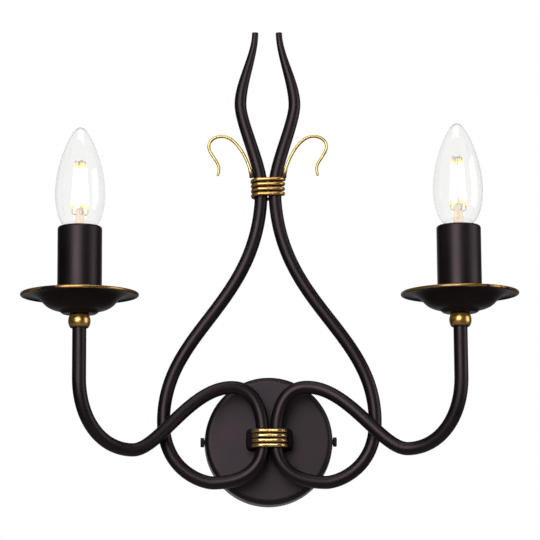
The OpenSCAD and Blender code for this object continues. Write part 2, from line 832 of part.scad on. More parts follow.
// Candle sleeve with a rounded shoulder that turns in over its mouth
module candle_sleeve(side) {
    r = sleeve_d / 2;
    height = sleeve_top_z - sleeve_z;
    color(PAINT)
    at_candle(side)
        translate([0, 0, sleeve_z])
            rotate_extrude($fn = 96) {
                translate([r - sleeve_wall, 0])
                    square([sleeve_wall, height - sleeve_shoulder]);
                translate([r - sleeve_shoulder, height - sleeve_shoulder])
                    intersection() {
                        difference() {
                            circle(r = sleeve_shoulder);
                            circle(r = sleeve_shoulder - sleeve_wall);
                        }
                        square(sleeve_shoulder);
                    }
            }
}

// Bulb: candle-shaped glass, drawn as [radius, height] from the neck to the tip
belly_h = glass_h * 0.365;
glass_steps = 9;
function glass_outline(inset) =
    let (belly_r = glass_d / 2 - inset, throat = neck_r - inset, top = glass_h - inset)
    concat(
        curve2([throat, 0], [throat + 7.2, 2.8], [belly_r, belly_h - 14], [belly_r, belly_h],
               glass_steps),
        tail(curve2([belly_r, belly_h], [belly_r, belly_h + 20], [6.4, top], [0, top],
                    glass_steps)));

module bulb_glass(side) {
    neck_in = 6;
    color(GLASS)
    at_candle(side)
        translate([0, 0, glass_z + side_raise(side)])
            rotate_extrude($fn = 72)
                polygon(concat(
                    [[neck_r, -neck_in]],
                    glass_outline(0),
                    reversed(glass_outline(glass_wall)),
                    [[neck_r - glass_wall, -neck_in]]));
}

cap_wall = 0.3;
cap_top_z = glass_z - 0.2;
module bulb_cap(side) {
    bottom = cap_bottom_z + insulator_t;
    color(ZINC)
    at_candle(side)
        translate([0, 0, bottom + side_raise(side)])
            difference() {
                cylinder(r = cap_r, h = cap_top_z - bottom);
                translate([0, 0, -1])
                    cylinder(r = cap_r - cap_wall, h = cap_h);
            }
}

module bulb_insulator(side) {
    base_r = 3.6;
    color([0.1, 0.1, 0.12])
    at_candle(side)
        translate([0, 0, cap_bottom_z + side_raise(side)])
            rotate_extrude()
                polygon([[contact_hole_r, contact_t - 0.6], [base_r, contact_t - 0.6],
                         [cap_r - 0.6, insulator_t - 0.1], [cap_r - cap_wall - 0.05, insulator_t + 0.2],
                         [cap_r - cap_wall - 0.05, insulator_t + 3], [contact_hole_r, insulator_t + 3]]);
}

contact_hole_r = 1.1;
module bulb_contact(side) {
    color(ZINC)
    at_candle(side)
        translate([0, 0, cap_bottom_z + side_raise(side)]) {
            cylinder(r = 2.6, h = contact_t - 0.6 - thread_play);
            cylinder(r = contact_hole_r - thread_play, h = insulator_t + 3);
        }
}

// Glass stem inside the bulb: a flare sealed into the neck, drawn in to a press
stem_h = 16.4;
stem_r = 3.6;
stem_press_h = 5;
module bulb_stem(side) {
    foot = neck_r - glass_wall - seat_gap;
    color(GLASS)
    at_candle(side)
        translate([0, 0, glass_z + side_raise(side)])
            rotate_extrude()
                polygon(concat(
                    [[0, -4], [foot, -4], [foot, -3]],
                    tail(curve2([foot, -3], [foot - 0.9, -2], [stem_r, 1], [stem_r, 4], 5)),
                    [[stem_r - 0.3, stem_h - stem_press_h], [stem_r - 1.3, stem_h - 1.4],
                     [stem_r - 2.4, stem_h], [0, stem_h]]));
}

// Filaments stand in a ring and lean together towards the top
filament_foot_r = 5.7;
filament_head_r = 3.5;
filament_z = 15.6;
filament_turn = 20;
filament_d = 1.8;
filament_lean = asin((filament_foot_r - filament_head_r) / filament_length);
filament_rise = filament_length * cos(filament_lean);
function filament_angle(i) = filament_turn + 360 * i / filament_count;
module bulb_filaments(side) {
    color(GLOW)
    at_candle(side)
        translate([0, 0, glass_z + filament_z + side_raise(side)])
            for (i = [0 : filament_count - 1])
                rotate(filament_angle(i))
                    translate([filament_foot_r, 0, 0])
                        rotate([0, -filament_lean, 0])
                            cylinder(d = filament_d, h = filament_length, $fn = 16);
}

// Lead wires: a post from the stem up to a cross that holds the filament heads, and
// below each filament a tab with a wire back to the stem
lead_r = 0.35;
tab_h = 2.6;
tab_size = [0.6, 1.3];
module rod(a, b, r) {
    v = b - a;
    translate(a)
        rotate([0, acos(v[2] / norm(v)), atan2(v[1], v[0])])
            cylinder(r = r, h = norm(v), $fn = 16);
}

module tab(x, z) {
    translate([x - tab_size[0] / 2, -tab_size[1] / 2, z])
        cube([tab_size[0], tab_size[1], tab_h]);
}

module bulb_leads(side) {
    head_z = filament_z + filament_rise + 0.2;
    cross_z = head_z + tab_h - 0.6;
    color(BRASS)
    at_candle(side)
        translate([0, 0, glass_z + side_raise(side)]) {
            translate([0, 0, stem_h + 0.05])
                cylinder(r = lead_r, h = cross_z - stem_h + 0.2, $fn = 16);
            for (i = [0 : filament_count - 1])
                rotate(filament_angle(i)) {
                    translate([0, -0.3, cross_z])
                        cube([filament_head_r, 0.6, 0.5]);
                    tab(filament_head_r, head_z);
                    tab(filament_foot_r + 0.1, filament_z - tab_h - 0.05);
                    rod([stem_r + 0.2, 0, stem_h - stem_press_h],
                        [filament_foot_r + 0.1, 0, filament_z - tab_h + 0.5], lead_r);
                }
        }
}

// Terminal block on the strap, left of the cable entry
block_pole_x = 4.6;
barrel_r = 1.8;
barrel_bore_r = 1.25;
block_screw_head_r = 2.2;
function pole_x(i) = block_x + (i == 0 ? -block_pole_x : block_pole_x);
block_pole_reach = strap_t + block_depth * 0.45;

module terminal_block() {
    color(WHITE)
    difference() {
        translate([block_x - block_w / 2, -strap_t - block_depth, -block_h / 2])
            cube([block_w, block_depth, block_h]);
        for (i = [0, 1]) {
            translate([pole_x(i), -block_pole_reach, 0])
                cylinder(r = barrel_r + seat_gap, h = 2 * block_h, center = true);
            for (v = [LEFT, RIGHT])
                translate([pole_x(i), -block_pole_reach, v * terminal_screw_z])
                    facing_room() cylinder(r = terminal_screw_r + seat_gap, h = block_depth);
        }
        translate([block_x, 0, 0])
            facing_room() {
                cylinder(r = small_screw_r + seat_gap, h = 2 * block_depth);
                translate([0, 0, strap_t + 5])
                    cylinder(r = block_screw_head_r + seat_gap, h = block_depth);
            }
    }
}

terminal_screw_r = 1.3;
terminal_screw_z = block_h / 2 - 4;
module terminal_barrels() {
    color(BRASS)
    for (i = [0, 1])
        translate([pole_x(i), -block_pole_reach, 0])
            difference() {
                cylinder(r = barrel_r, h = block_h - 2, center = true);
                cylinder(r = barrel_bore_r, h = block_h, center = true);
                for (v = [LEFT, RIGHT])
                    translate([0, 0, v * terminal_screw_z])
                        facing_room() cylinder(r = terminal_screw_r + thread_play, h = 3 * barrel_r);
            }
}

module terminal_screws() {
    color(ZINC)
    for (i = [0, 1], v = [LEFT, RIGHT])
        translate([pole_x(i), -block_pole_reach - barrel_bore_r - 0.1, v * terminal_screw_z])
            facing_room() slotted_screw(terminal_screw_r, 4.2);
}

// A headless screw with a driver slot in its end
module slotted_screw(r, length) {
    difference() {
        cylinder(r = r, h = length);
        translate([0, 0, length])
            cube([3 * r, 0.6, 1.2], center = true);
    }
}

// A pan-head screw: the shank runs down from the head's seat at zero
module pan_screw(shank_r, shank, head_r, head_t) {
    difference() {
        union() {
            translate([0, 0, -shank])
                cylinder(r = shank_r, h = shank + 0.2);
            cylinder(r = head_r, h = head_t);
        }
        translate([0, 0, head_t])
            cube([3 * head_r, 0.8, 1.4], center = true);
    }
}

module block_screw() {
    color(ZINC)
    translate([block_x, -strap_t - 5, 0])
        facing_room() pan_screw(small_screw_r, 5 + strap_t - 0.3, block_screw_head_r, 1.8);
}

tag_t = 0.6;
tag_r = 3.4;
module earth_screw() {
    color(ZINC)
    translate([earth_x, -strap_t - tag_t, 0])
        facing_room() pan_screw(small_screw_r, tag_t + strap_t - 0.3, 3, 2);
}

// Ring tags: one under the earth screw, one between washer and nut on the stud
stud_tag_r = stud_d / 2 + 2.6;
stud_tag_reach = plate_inner_depth - washer_t - stud_nut_t;
module ring_tag(outer_r, hole_r, arm) {
    difference() {
        union() {
            cylinder(r = outer_r, h = tag_t);
            translate([-1.5, 0, 0])
                cube([3, outer_r + arm, tag_t]);
        }
        translate([0, 0, -1])
            cylinder(r = hole_r, h = tag_t + 2);
    }
}

module earth_tags() {
    color(ZINC) {
        translate([earth_x, -strap_t, 0])
            facing_room() ring_tag(tag_r, small_screw_r + seat_gap, tag_arm);
        translate([0, -stud_tag_reach + tag_t, 0])
            facing_room() ring_tag(stud_tag_r, stud_d / 2 + seat_gap, tag_arm);
    }
}

// Earth lead: one insulated wire between the two tags, in a slack bow. It lies straight
// along each tag's arm for lead_grip and runs on straight a little past the arm's end.
tag_arm = 3;
lead_sides = 8;
lead_step = 4;
lead_grip = 1.5;
lead_bow = 9;
function earth_point(x, reach, arm_end, past) =
    [x, -reach - wire_d / 2 - thread_play, arm_end + past];
module earth_lead() {
    r = wire_d / 2;
    low_reach = strap_t + tag_t;
    low_end = tag_r + tag_arm;
    top_end = stud_tag_r + tag_arm;
    up = [0, 0, 1];
    color([0.25, 0.55, 0.2])
        swept_solid(
            route([
                [earth_point(earth_x, low_reach, low_end, -lead_grip), up, 0, 1, r],
                [earth_point(earth_x, low_reach, low_end, r), up, 1, lead_bow, r],
                [earth_point(0, stud_tag_reach, top_end, r), -up, lead_bow, 1, r],
                [earth_point(0, stud_tag_reach, top_end, -lead_grip), -up, 1, 0, r]], lead_step),
            [0, 1, 0], lead_sides);
}

// Arm wires: two to each candle, from the block through the stud, into the tube's back
// at the hub, along the tube and up the nipple to the lampholder's terminals.
// Core -1 starts at the left pole of the block and core 1 at the right one.
wire_shift = wire_d / 2 + 0.05;
wire_step = 6;
wire_sides = 6;

function shifted(path, amount) =
    let (n = normals(path, [0, 1, 0]))
    [for (i = [0 : len(path) - 1])
        path[i][0] + cross(heading(path, i), n[i]) * amount];

function arm_stations(side) =
    let (all = scroll_stations(side)) [for (i = [HUB_OUT : len(all) - 1]) all[i]];

function wire_rows(points) = [for (p = points) [p, wire_d / 2]];

function wire_path(side, core) =
    let (r = wire_d / 2,
         pole = core < 0 ? 0 : 1,
         block_foot = -block_h / 2 - 0.3,
         pole_reach = block_pole_reach + side * wire_shift,
         layer_reach = (core < 0 ? 4.6 : 8.2) + side * wire_shift,
         sag = (core < 0 ? 9.6 : 4.9) + 1.6 * side,
         turn = core < 0 ? 5 : 3.4,
         early = core * side < 0 ? 1 : 0,
         stud_x = side * 2 * wire_shift - core * wire_shift,
         tube_x = side * pair_x - core * wire_shift,
         in_tube = shifted(route(arm_stations(side), wire_step), core * wire_shift),
         top = in_tube[len(in_tube) - 1],
         post_z = chamber_top_z - terminal_post[2] + side_raise(side),
         post_x = side * candle_x - core * terminal_x)
    concat(
        route([
            [[pole_x(pole), -pole_reach, block_foot], [0, 0, -1], 0, 4, r],
            [[blend(pole_x(pole), stud_x, 0.5), -layer_reach, block_foot - sag], [1, 0, 0], turn, turn, r],
            [[stud_x, -layer_reach, block_foot + 1], [0, 0, 1], 4, 4, r],
            [[stud_x, -stud_inner_end, 0], [0, -1, 0], 3.5, 3, r],
            [[stud_x, early - plate_depth - stud_grip, 0], [0, -1, 0], 3, 2.4, r],
            [[tube_x, early - hub_front + 2, 0], [0, -1, 0], 2.4, 3, r],
            [in_tube[0], [0, 0, 1], 4, 0, r]], wire_step * 0.6),
        wire_rows([for (i = [1 : len(in_tube) - 2]) in_tube[i]]),
        route([
            [top, [0, 0, 1], 0, 6, r],
            [[top[0], top[1], nipple_top_z], [0, 0, 1], 6, 2, r],
            [[post_x, -candle_reach, post_z - 1.2], [0, 0, 1], 3, 1, r],
            [[post_x, -candle_reach, post_z + terminal_wire_depth - 0.3], [0, 0, 1], 1, 0, r]],
            wire_step));

module arm_wires(side) {
    for (core = [LEFT, RIGHT])
        color(core < 0 ? [0.15, 0.25, 0.55] : [0.4, 0.22, 0.12])
            swept_solid(wire_path(side, core), [1, 0, 0], wire_sides);
}

wall_strap();
earth_screw();
earth_tags();
earth_lead();
terminal_block();
terminal_barrels();
terminal_screws();
block_screw();
canopy();
thumbscrew(LEFT);  // thumbscrew_left
thumbscrew(RIGHT);  // thumbscrew_right
hub_stud();
hub_washer();
hub_nut();
hub_block();
hub_binding();
scroll_tube(LEFT);  // scroll_tube_left
scroll_tube(RIGHT);  // scroll_tube_right
finial_wrap();
hook(LEFT);  // hook_left
hook(RIGHT);  // hook_right
bead(LEFT);  // bead_left
bead(RIGHT);  // bead_right
nipple(LEFT);  // nipple_left
nipple(RIGHT);  // nipple_right
drip_pan(LEFT);  // drip_pan_left
drip_pan(RIGHT);  // drip_pan_right
pan_nut(LEFT);  // pan_nut_left
pan_nut(RIGHT);  // pan_nut_right
lampholder(LEFT);  // lampholder_left
lampholder(RIGHT);  // lampholder_right
holder_shell(LEFT);  // holder_shell_left
holder_shell(RIGHT);  // holder_shell_right
holder_contact(LEFT);  // holder_contact_left
holder_contact(RIGHT);  // holder_contact_right
holder_terminals(LEFT);  // holder_terminals_left
holder_terminals(RIGHT);  // holder_terminals_right
candle_sleeve(LEFT);  // candle_sleeve_left
candle_sleeve(RIGHT);  // candle_sleeve_right
bulb_glass(LEFT);  // bulb_glass_left
bulb_glass(RIGHT);  // bulb_glass_right
bulb_cap(LEFT);  // bulb_cap_left
bulb_cap(RIGHT);  // bulb_cap_right
bulb_insulator(LEFT);  // bulb_insulator_left
bulb_insulator(RIGHT);  // bulb_insulator_right
bulb_contact(LEFT);  // bulb_contact_left
bulb_contact(RIGHT);  // bulb_contact_right
bulb_stem(LEFT);  // bulb_stem_left
bulb_stem(RIGHT);  // bulb_stem_right
bulb_filaments(LEFT);  // bulb_filaments_left
bulb_filaments(RIGHT);  // bulb_filaments_right
bulb_leads(LEFT);  // bulb_leads_left
bulb_leads(RIGHT);  // bulb_leads_right
arm_wires(LEFT);  // arm_wires_left
arm_wires(RIGHT);  // arm_wires_right
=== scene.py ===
# %% [markdown]
# # A wall lamp with scrolled tubes and candle bulbs
#
# This notebook dresses a wall lamp: two black tubes bent into scrolls, tied with gilt wire, with a
# candle at each end. The packed model gives every piece its place. Here most pieces that show get
# a smooth surface worked out with numpy and a finish made of shader nodes; the others that show
# keep their packed shape and only get a finish.
# Everything is in metres. X runs to the right, Y into the wall and Z up, and the wall is at Y = 0.

# %% Load the packed model
import math

import bpy
import mathutils
import numpy as np
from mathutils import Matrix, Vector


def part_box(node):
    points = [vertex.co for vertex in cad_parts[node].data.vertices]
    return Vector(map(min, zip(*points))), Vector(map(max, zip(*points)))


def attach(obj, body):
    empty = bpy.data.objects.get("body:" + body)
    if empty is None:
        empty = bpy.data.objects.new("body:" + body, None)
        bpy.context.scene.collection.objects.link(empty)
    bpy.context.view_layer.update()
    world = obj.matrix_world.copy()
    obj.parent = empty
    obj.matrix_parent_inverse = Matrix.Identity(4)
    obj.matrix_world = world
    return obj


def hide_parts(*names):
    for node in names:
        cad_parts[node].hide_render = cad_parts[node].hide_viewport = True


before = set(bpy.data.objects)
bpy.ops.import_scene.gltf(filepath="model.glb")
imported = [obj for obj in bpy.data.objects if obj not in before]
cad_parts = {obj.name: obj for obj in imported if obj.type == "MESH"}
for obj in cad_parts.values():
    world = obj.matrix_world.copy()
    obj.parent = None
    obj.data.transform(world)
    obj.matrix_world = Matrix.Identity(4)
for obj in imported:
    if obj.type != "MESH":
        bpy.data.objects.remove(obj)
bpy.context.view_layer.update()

# %% [markdown]
# ## Driving sizes
#
# A maker's drawing starts with a few sizes from which the rest follow. Most are read off the
# packed pieces with their boxes, so that a surface always lands on its piece, and the rest are the
# sizes of the drawing itself, in millimetres.

# %% Driving sizes
MM = 0.001
SIDES = {"left": -1, "right": 1}
UP = np.array([0, 0, 1])
DOWN = -UP
FORWARD = np.array([0, -1, 0])


def middle(node):
    """Middle of a node's box, in millimetres."""
    low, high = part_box(node)
    return (np.array(low) + np.array(high)) / 2 / MM


def span(node, axis):
    """Lowest and highest place of a node along one axis, in millimetres."""
    low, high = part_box(node)
    return low[axis] / MM, high[axis] / MM


def half_width(node):
    """Half of a node's size along X, in millimetres."""
    low, high = span(node, 0)
    return (high - low) / 2


candle_x, candle_y, _ = middle("candle_sleeve_right")
candle_axis = {name: (side * candle_x, candle_y) for name, side in SIDES.items()}
_, tube_y, waist_z = middle("finial_wrap")
tip_z = span("scroll_tube_right", 2)[1]
pan_r = half_width("drip_pan_right")
pan_foot_z = span("drip_pan_right", 2)[0]
bead_z = span("bead_right", 2)[0]
sleeve_z, sleeve_top_z = span("candle_sleeve_right", 2)
sleeve_r = half_width("candle_sleeve_right")
plate_r = half_width("canopy")
plate_depth = -span("canopy", 1)[0]
print("candle axis at", round(candle_x, 2), round(candle_y, 2), "waist at", round(waist_z, 1))

# %% [markdown]
# ## Camera
#
# The lamp was photographed from about 1.7 m away, a little below its hub, with the camera tilted
# up. The pans show their undersides, which fixes the height of the eye, and the place of the
# candles against the back plate fixes the distance. A long lens keeps the uprights straight.

# %% Camera
IMAGE_SIDE = 540
SHIFT_PIXELS = 1.5
FOCAL_PIXELS = 2350
SENSOR = 36.0
CAMERA_DISTANCE = 1.690
CAMERA_HEIGHT = -0.141
CAMERA_SIDE = -0.036
CAMERA_TILT = math.radians(8.985)
CAMERA_ROLL = math.radians(-0.36)
AIM_REACH = 0.04
CAMERA_TURN = math.atan2(CAMERA_SIDE, CAMERA_DISTANCE - AIM_REACH)


def placed(name, data):
    """A new object around its data, put into the scene."""
    thing = bpy.data.objects.new(name, data)
    bpy.context.scene.collection.objects.link(thing)
    return thing


camera = placed("camera", bpy.data.cameras.new("camera"))
camera.data.sensor_width = SENSOR
camera.data.lens = FOCAL_PIXELS / IMAGE_SIDE * SENSOR
camera.data.shift_x = SHIFT_PIXELS / IMAGE_SIDE
camera.data.clip_end = 20
camera.location = (CAMERA_SIDE, -CAMERA_DISTANCE, CAMERA_HEIGHT)
turned = (mathutils.Matrix.Rotation(CAMERA_TURN, 3, "Z")
          @ mathutils.Matrix.Rotation(math.pi / 2 + CAMERA_TILT, 3, "X")
          @ mathutils.Matrix.Rotation(CAMERA_ROLL, 3, "Z"))
camera.rotation_euler = turned.to_euler()
bpy.context.scene.camera = camera
print("lens of", round(camera.data.lens, 1), "mm")

# %% [markdown]
# ## Node trees
#
# Light and finishes are small trees of nodes. One helper adds a node and fills or links its
# inputs, and the rest are the sums that every tree needs. The last says where a pale background
# shows: in full to the camera and through glass, and with a share of its own in what shines.

# %% Node helpers
class Nodes:
    """A node tree whose nodes are added and joined one call at a time."""

    def __init__(self, owner):
        owner.use_nodes = True
        self.tree = owner.node_tree

    def fill(self, socket, value):
        """Links a socket to another node's output, or gives it a plain value."""
        if isinstance(value, bpy.types.NodeSocket):
            self.tree.links.new(value, socket)
        else:
            socket.default_value = value

    def add(self, kind, settings=(), **inputs):
        """Adds a node; an input name is written with underscores for spaces."""
        node = self.tree.nodes.new("ShaderNode" + kind)
        for key, value in dict(settings).items():
            setattr(node, key, value)
        for key, value in inputs.items():
            self.fill(node.inputs[key.replace("_", " ")], value)
        return node

    def stretch(self, value, low, high, to_low=0.0, to_high=1.0):
        """Maps the values low to high onto to_low to to_high, and cuts off what lies outside."""
        node = self.add("MapRange", Value=value, From_Min=low, From_Max=high,
                        To_Min=to_low, To_Max=to_high)
        return node.outputs["Result"]

    def maths(self, operation, a, b):
        """One sum on two values."""
        node = self.add("Math", {"operation": operation})
        self.fill(node.inputs[0], a)
        self.fill(node.inputs[1], b)
        return node.outputs["Value"]

    def shown(self, in_gloss):
        """1 to the camera and through glass, and the share in_gloss to a glossy ray."""
        ray = self.add("LightPath").outputs
        seen = self.maths("MAXIMUM", ray["Is Camera Ray"], ray["Is Transmission Ray"])
        return self.maths("MAXIMUM", seen, self.maths("MULTIPLY", ray["Is Glossy Ray"], in_gloss))


print("a node tree can:", ", ".join(n for n in vars(Nodes) if not n.startswith("_")))

# %% [markdown]
# ## Studio light
#
# The black paint takes its shape from what it mirrors: one broad soft light in front to the left
# draws the bright streak down every tube, a tall one far to the right draws the second, a weak
# one hangs above, and the room between them stays dim. The world is white where the camera or the
# glass looks at it, and paint and metal mirror its white half, behind the lamp. No softbox shows
# through the glass.

# %% Studio light
LAMP_MIDDLE = np.array([0, -0.05, 0.12])
WORLD_FILL = 0.04
FRONT_IN_GLOSS = 0.04
BACKDROP_EDGE = (0.75, 1.0)


def softbox(name, azimuth, elevation, distance, width, height, power):
    """An area light at a direction seen from the lamp, turned to face the lamp's middle.

    Azimuth 0 is in front of the lamp, positive to its right, and elevation is above the horizon.
    """
    data = bpy.data.lights.new(name, "AREA")
    data.shape = "RECTANGLE"
    data.size = width
    data.size_y = height
    data.energy = power
    light = placed(name, data)
    a, e = math.radians(azimuth), math.radians(elevation)
    away = np.array([math.sin(a) * math.cos(e), -math.cos(a) * math.cos(e), math.sin(e)])
    light.location = LAMP_MIDDLE + away * distance
    light.rotation_euler = (math.pi / 2 - e, 0, a)
    light.visible_camera = False
    light.visible_transmission = False


softbox("key softbox", -17, 15, 1.9, 1.2, 1.4, 37)
softbox("side softbox", 77, 10, 1.8, 1.1, 1.5, 14)
softbox("top softbox", -10, 78, 1.6, 1.2, 0.9, 9)

world = bpy.data.worlds.new("studio")
bpy.context.scene.world = world
bpy.context.scene.view_settings.view_transform = "Standard"
sky = Nodes(world)
ray_heading = sky.add("SeparateXYZ", Vector=sky.add("TexCoord").outputs["Generated"])
behind = sky.stretch(ray_heading.outputs["Y"], *BACKDROP_EDGE, FRONT_IN_GLOSS)
background = sky.tree.nodes["Background"].inputs
sky.fill(background["Color"], (1, 1, 1, 1))
sky.fill(background["Strength"], sky.maths("MAXIMUM", sky.shown(behind), WORLD_FILL))
print("softboxes:", len(bpy.data.lights))

# %% [markdown]
# ## Meshes from grids
#
# Nearly every piece of the lamp is a profile carried round an axis or along a path. Both give a
# grid of points, so one helper that turns a grid into a mesh serves them all. The first and last
# ring of an open grid are closed with a fan, so that no end stays open.

# %% Grid helpers
SHARP_EDGE = 38


def mesh_from(name, points, faces):
    """Makes an object from an (n, 3) array of points in millimetres and a list of faces."""
    data = bpy.data.meshes.new(name)
    data.from_pydata((np.asarray(points) * MM).tolist(), [], faces)
    data.validate()
    data.update()
    data.shade_smooth()
    data.set_sharp_from_angle(angle=math.radians(SHARP_EDGE))
    return placed(name, data)


def grid_mesh(name, grid, ends=None, closed=False):
    """A mesh over rings of points, each ring closed on itself.

    The two ends are the points where the fans of the first and last ring meet. A closed grid
    joins its last ring to its first instead.
    """
    rows, columns = grid.shape[:2]
    i = np.arange(rows if closed else rows - 1)[:, None]
    k = np.arange(columns)
    i2, k2 = (i + 1) % rows, (k + 1) % columns
    quads = np.stack(np.broadcast_arrays(
        i * columns + k, i * columns + k2, i2 * columns + k2, i2 * columns + k), axis=-1)
    faces = quads.reshape(-1, 4).tolist()
    points = grid.reshape(-1, 3)
    if ends is not None:
        start, last = len(points), (rows - 1) * columns
        points = np.vstack([points, ends])
        faces += np.stack([np.full(columns, start), k2, k], -1).tolist()
        faces += np.stack([np.full(columns, start + 1), last + k, last + k2], -1).tolist()
    return mesh_from(name, points, faces)


def revolved(name, profile, axis=(0.0, 0.0), segments=128, closed=False, spin=None):
    """A profile of (radius, height) points turned about a vertical axis at (x, y).

    The point at angle a is (x + r cos a, y + r sin a, z). The profile runs so that the outside
    lies to its right. A closed profile joins its last point to its first; an open one has its
    ends on the axis, where the ring is one point and gets a fan. spin may change the radii as a
    function of (angle, radius, height) for knurls and threads.
    """
    profile = np.asarray(profile, float)
    angle = np.linspace(0, 2 * np.pi, segments, endpoint=False)
    inner = profile if closed else profile[1:-1]
    radius = np.broadcast_to(inner[:, :1], (len(inner), segments))
    height = np.broadcast_to(inner[:, 1:], (len(inner), segments))
    if spin is not None:
        radius, height = spin(angle[None, :], radius, height)
    x, y = axis
    grid = np.stack([x + radius * np.cos(angle), y + radius * np.sin(angle), height], -1)
    ends = None if closed else [[x, y, profile[0, 1]], [x, y, profile[-1, 1]]]
    return grid_mesh(name, grid, ends, closed)


def arc(cx, cz, r, start, stop, count):
    """Points on a circle arc, the angles in degrees, as (x, z)."""
    a = np.radians(np.linspace(start, stop, count))
    return np.stack([cx + r * np.cos(a), cz + r * np.sin(a)], -1)


def upright(x, low, high, count):
    """An upright run of points, from (x, low) to (x, high)."""
    return np.stack([np.full(count, x), np.linspace(low, high, count)], -1)


def cubic(a, b, c, d, t):
    """A cubic curve with ends a and d and handles b and c, at the shares t or at t even shares."""
    t = (np.linspace(0, 1, t) if isinstance(t, int) else np.asarray(t))[:, None]
    a, b, c, d = (np.asarray(p, float) for p in (a, b, c, d))
    return a * (1 - t) ** 3 + 3 * b * t * (1 - t) ** 2 + 3 * c * t ** 2 * (1 - t) + d * t ** 3


print("an arc of three points:", arc(0, 0, 1, 0, 90, 3).round(2).tolist())

# %% [markdown]
# ## Tubes along a path
#
# A bent tube is a circle carried along its centre line. The circle's own axes have to be carried
# without twist, or the surface would wring. Each ring takes the last ring's side direction and
# drops the part that points along the new heading.

# %% Sweep helpers
CAP_ANGLES = [90, 60, 30]


def unit(v):
    """Vectors scaled to length one, along the last axis."""
    return v / np.linalg.norm(v, axis=-1, keepdims=True)


def lengths_along(line):
    """How far along a line each of its points lies, starting from 0."""
    return np.concatenate([[0], np.cumsum(np.linalg.norm(np.diff(line, axis=0), axis=1))])


def squarish(columns, power):
    """Cosine and sine round a circle, each raised to a power; below 1 the ring turns squarish."""
    a = np.linspace(0, 2 * np.pi, columns, endpoint=False)
    return [np.sign(wave) * np.abs(wave) ** power for wave in (np.cos(a), np.sin(a))]


def carried(path, first):
    """Headings along a path, and side directions carried without twist from the first one."""
    along = unit(np.gradient(np.asarray(path, float), axis=0))
    sides = np.empty_like(along)
    side = np.asarray(first, float)
    for i, t in enumerate(along):
        side = unit(side - t * (side @ t))
        sides[i] = side
    return along, sides


def swept(name, path, radius, first, columns=24, flat=1.0, round_ends=0.0, square=1.0):
    """A solid tube: ring i is path[i] + r (flat cos a side + sin a up), the ends closed by fans.

    round_ends is the share of the radius by which the ends are rounded off, and square below 1
    raises the cosine and sine to that power, which makes the section squarer.
    """
    path = np.asarray(path, float)
    along, side = carried(path, first)
    up = np.cross(along, side)
    radius = np.broadcast_to(np.asarray(radius, float), (len(path),))
    flat = np.broadcast_to(np.asarray(flat, float), (len(path),))
    if round_ends:
        t = np.radians(CAP_ANGLES)[:, None]
        head = path[0] - along[0] * (round_ends * radius[0]) * np.sin(t)
        tail = path[-1] + along[-1] * (round_ends * radius[-1]) * np.sin(t[::-1])
        path = np.vstack([head, path, tail])
        shrink = 1 - round_ends * (1 - np.cos(t[:, 0]))
        radius = np.concatenate([radius[0] * shrink, radius, radius[-1] * shrink[::-1]])
        with_caps = np.clip(np.arange(len(path)) - len(t), 0, len(flat) - 1)
        flat, side, up = flat[with_caps], side[with_caps], up[with_caps]
    cosine, sine = squarish(columns, square)
    grid = (path[:, None]
            + (radius * flat)[:, None, None] * cosine[None, :, None] * side[:, None]
            + radius[:, None, None] * sine[None, :, None] * up[:, None])
    return grid_mesh(name, grid, [path[0], path[-1]])


def route(stations, step=1.2):
    """Points and radii along stations [point, heading, handle in, handle out, radius].

    Two stations are joined by one cubic curve that leaves and meets them along their headings.
    """
    points, radii = [], []
    for (p, d, _, leave, r), (q, e, arrive, _, s) in zip(stations[:-1], stations[1:]):
        p, q = np.array(p, float), np.array(q, float)
        b, c = p + np.array(d) * leave, q - np.array(e) * arrive
        rough = cubic(p, b, c, q, 9)
        parts = max(2, math.ceil(lengths_along(rough)[-1] / step))
        t = np.linspace(0, 1, parts, endpoint=False)
        points.append(cubic(p, b, c, q, t))
        ease = t * t * (3 - 2 * t)
        radii.append(r + (s - r) * ease)
    points.append(np.array([stations[-1][0]], float))
    radii.append(np.array([stations[-1][4]], float))
    return np.vstack(points), np.concatenate(radii)


print("a level ring starts with", np.round([wave[:3] for wave in squarish(12, 1)], 2).tolist())

# %% [markdown]
# ## Finishes
#
# A finish is a material with its own tree of nodes. Beside the sums that any tree has, it can lay
# noise, mix colours, read a value stored on the mesh and raise a bump. All patterns are laid out
# in the object's own metres, so a noise scale of 1000 has 1 mm grains.

# %% Finish helpers
def linear(red, green, blue):
    """A colour as a screen shows it, 0 to 255, turned into the light a shader works with."""
    c = np.array([red, green, blue]) / 255
    return (*np.where(c <= 0.04045, c / 12.92, ((c + 0.055) / 1.055) ** 2.4).tolist(), 1.0)


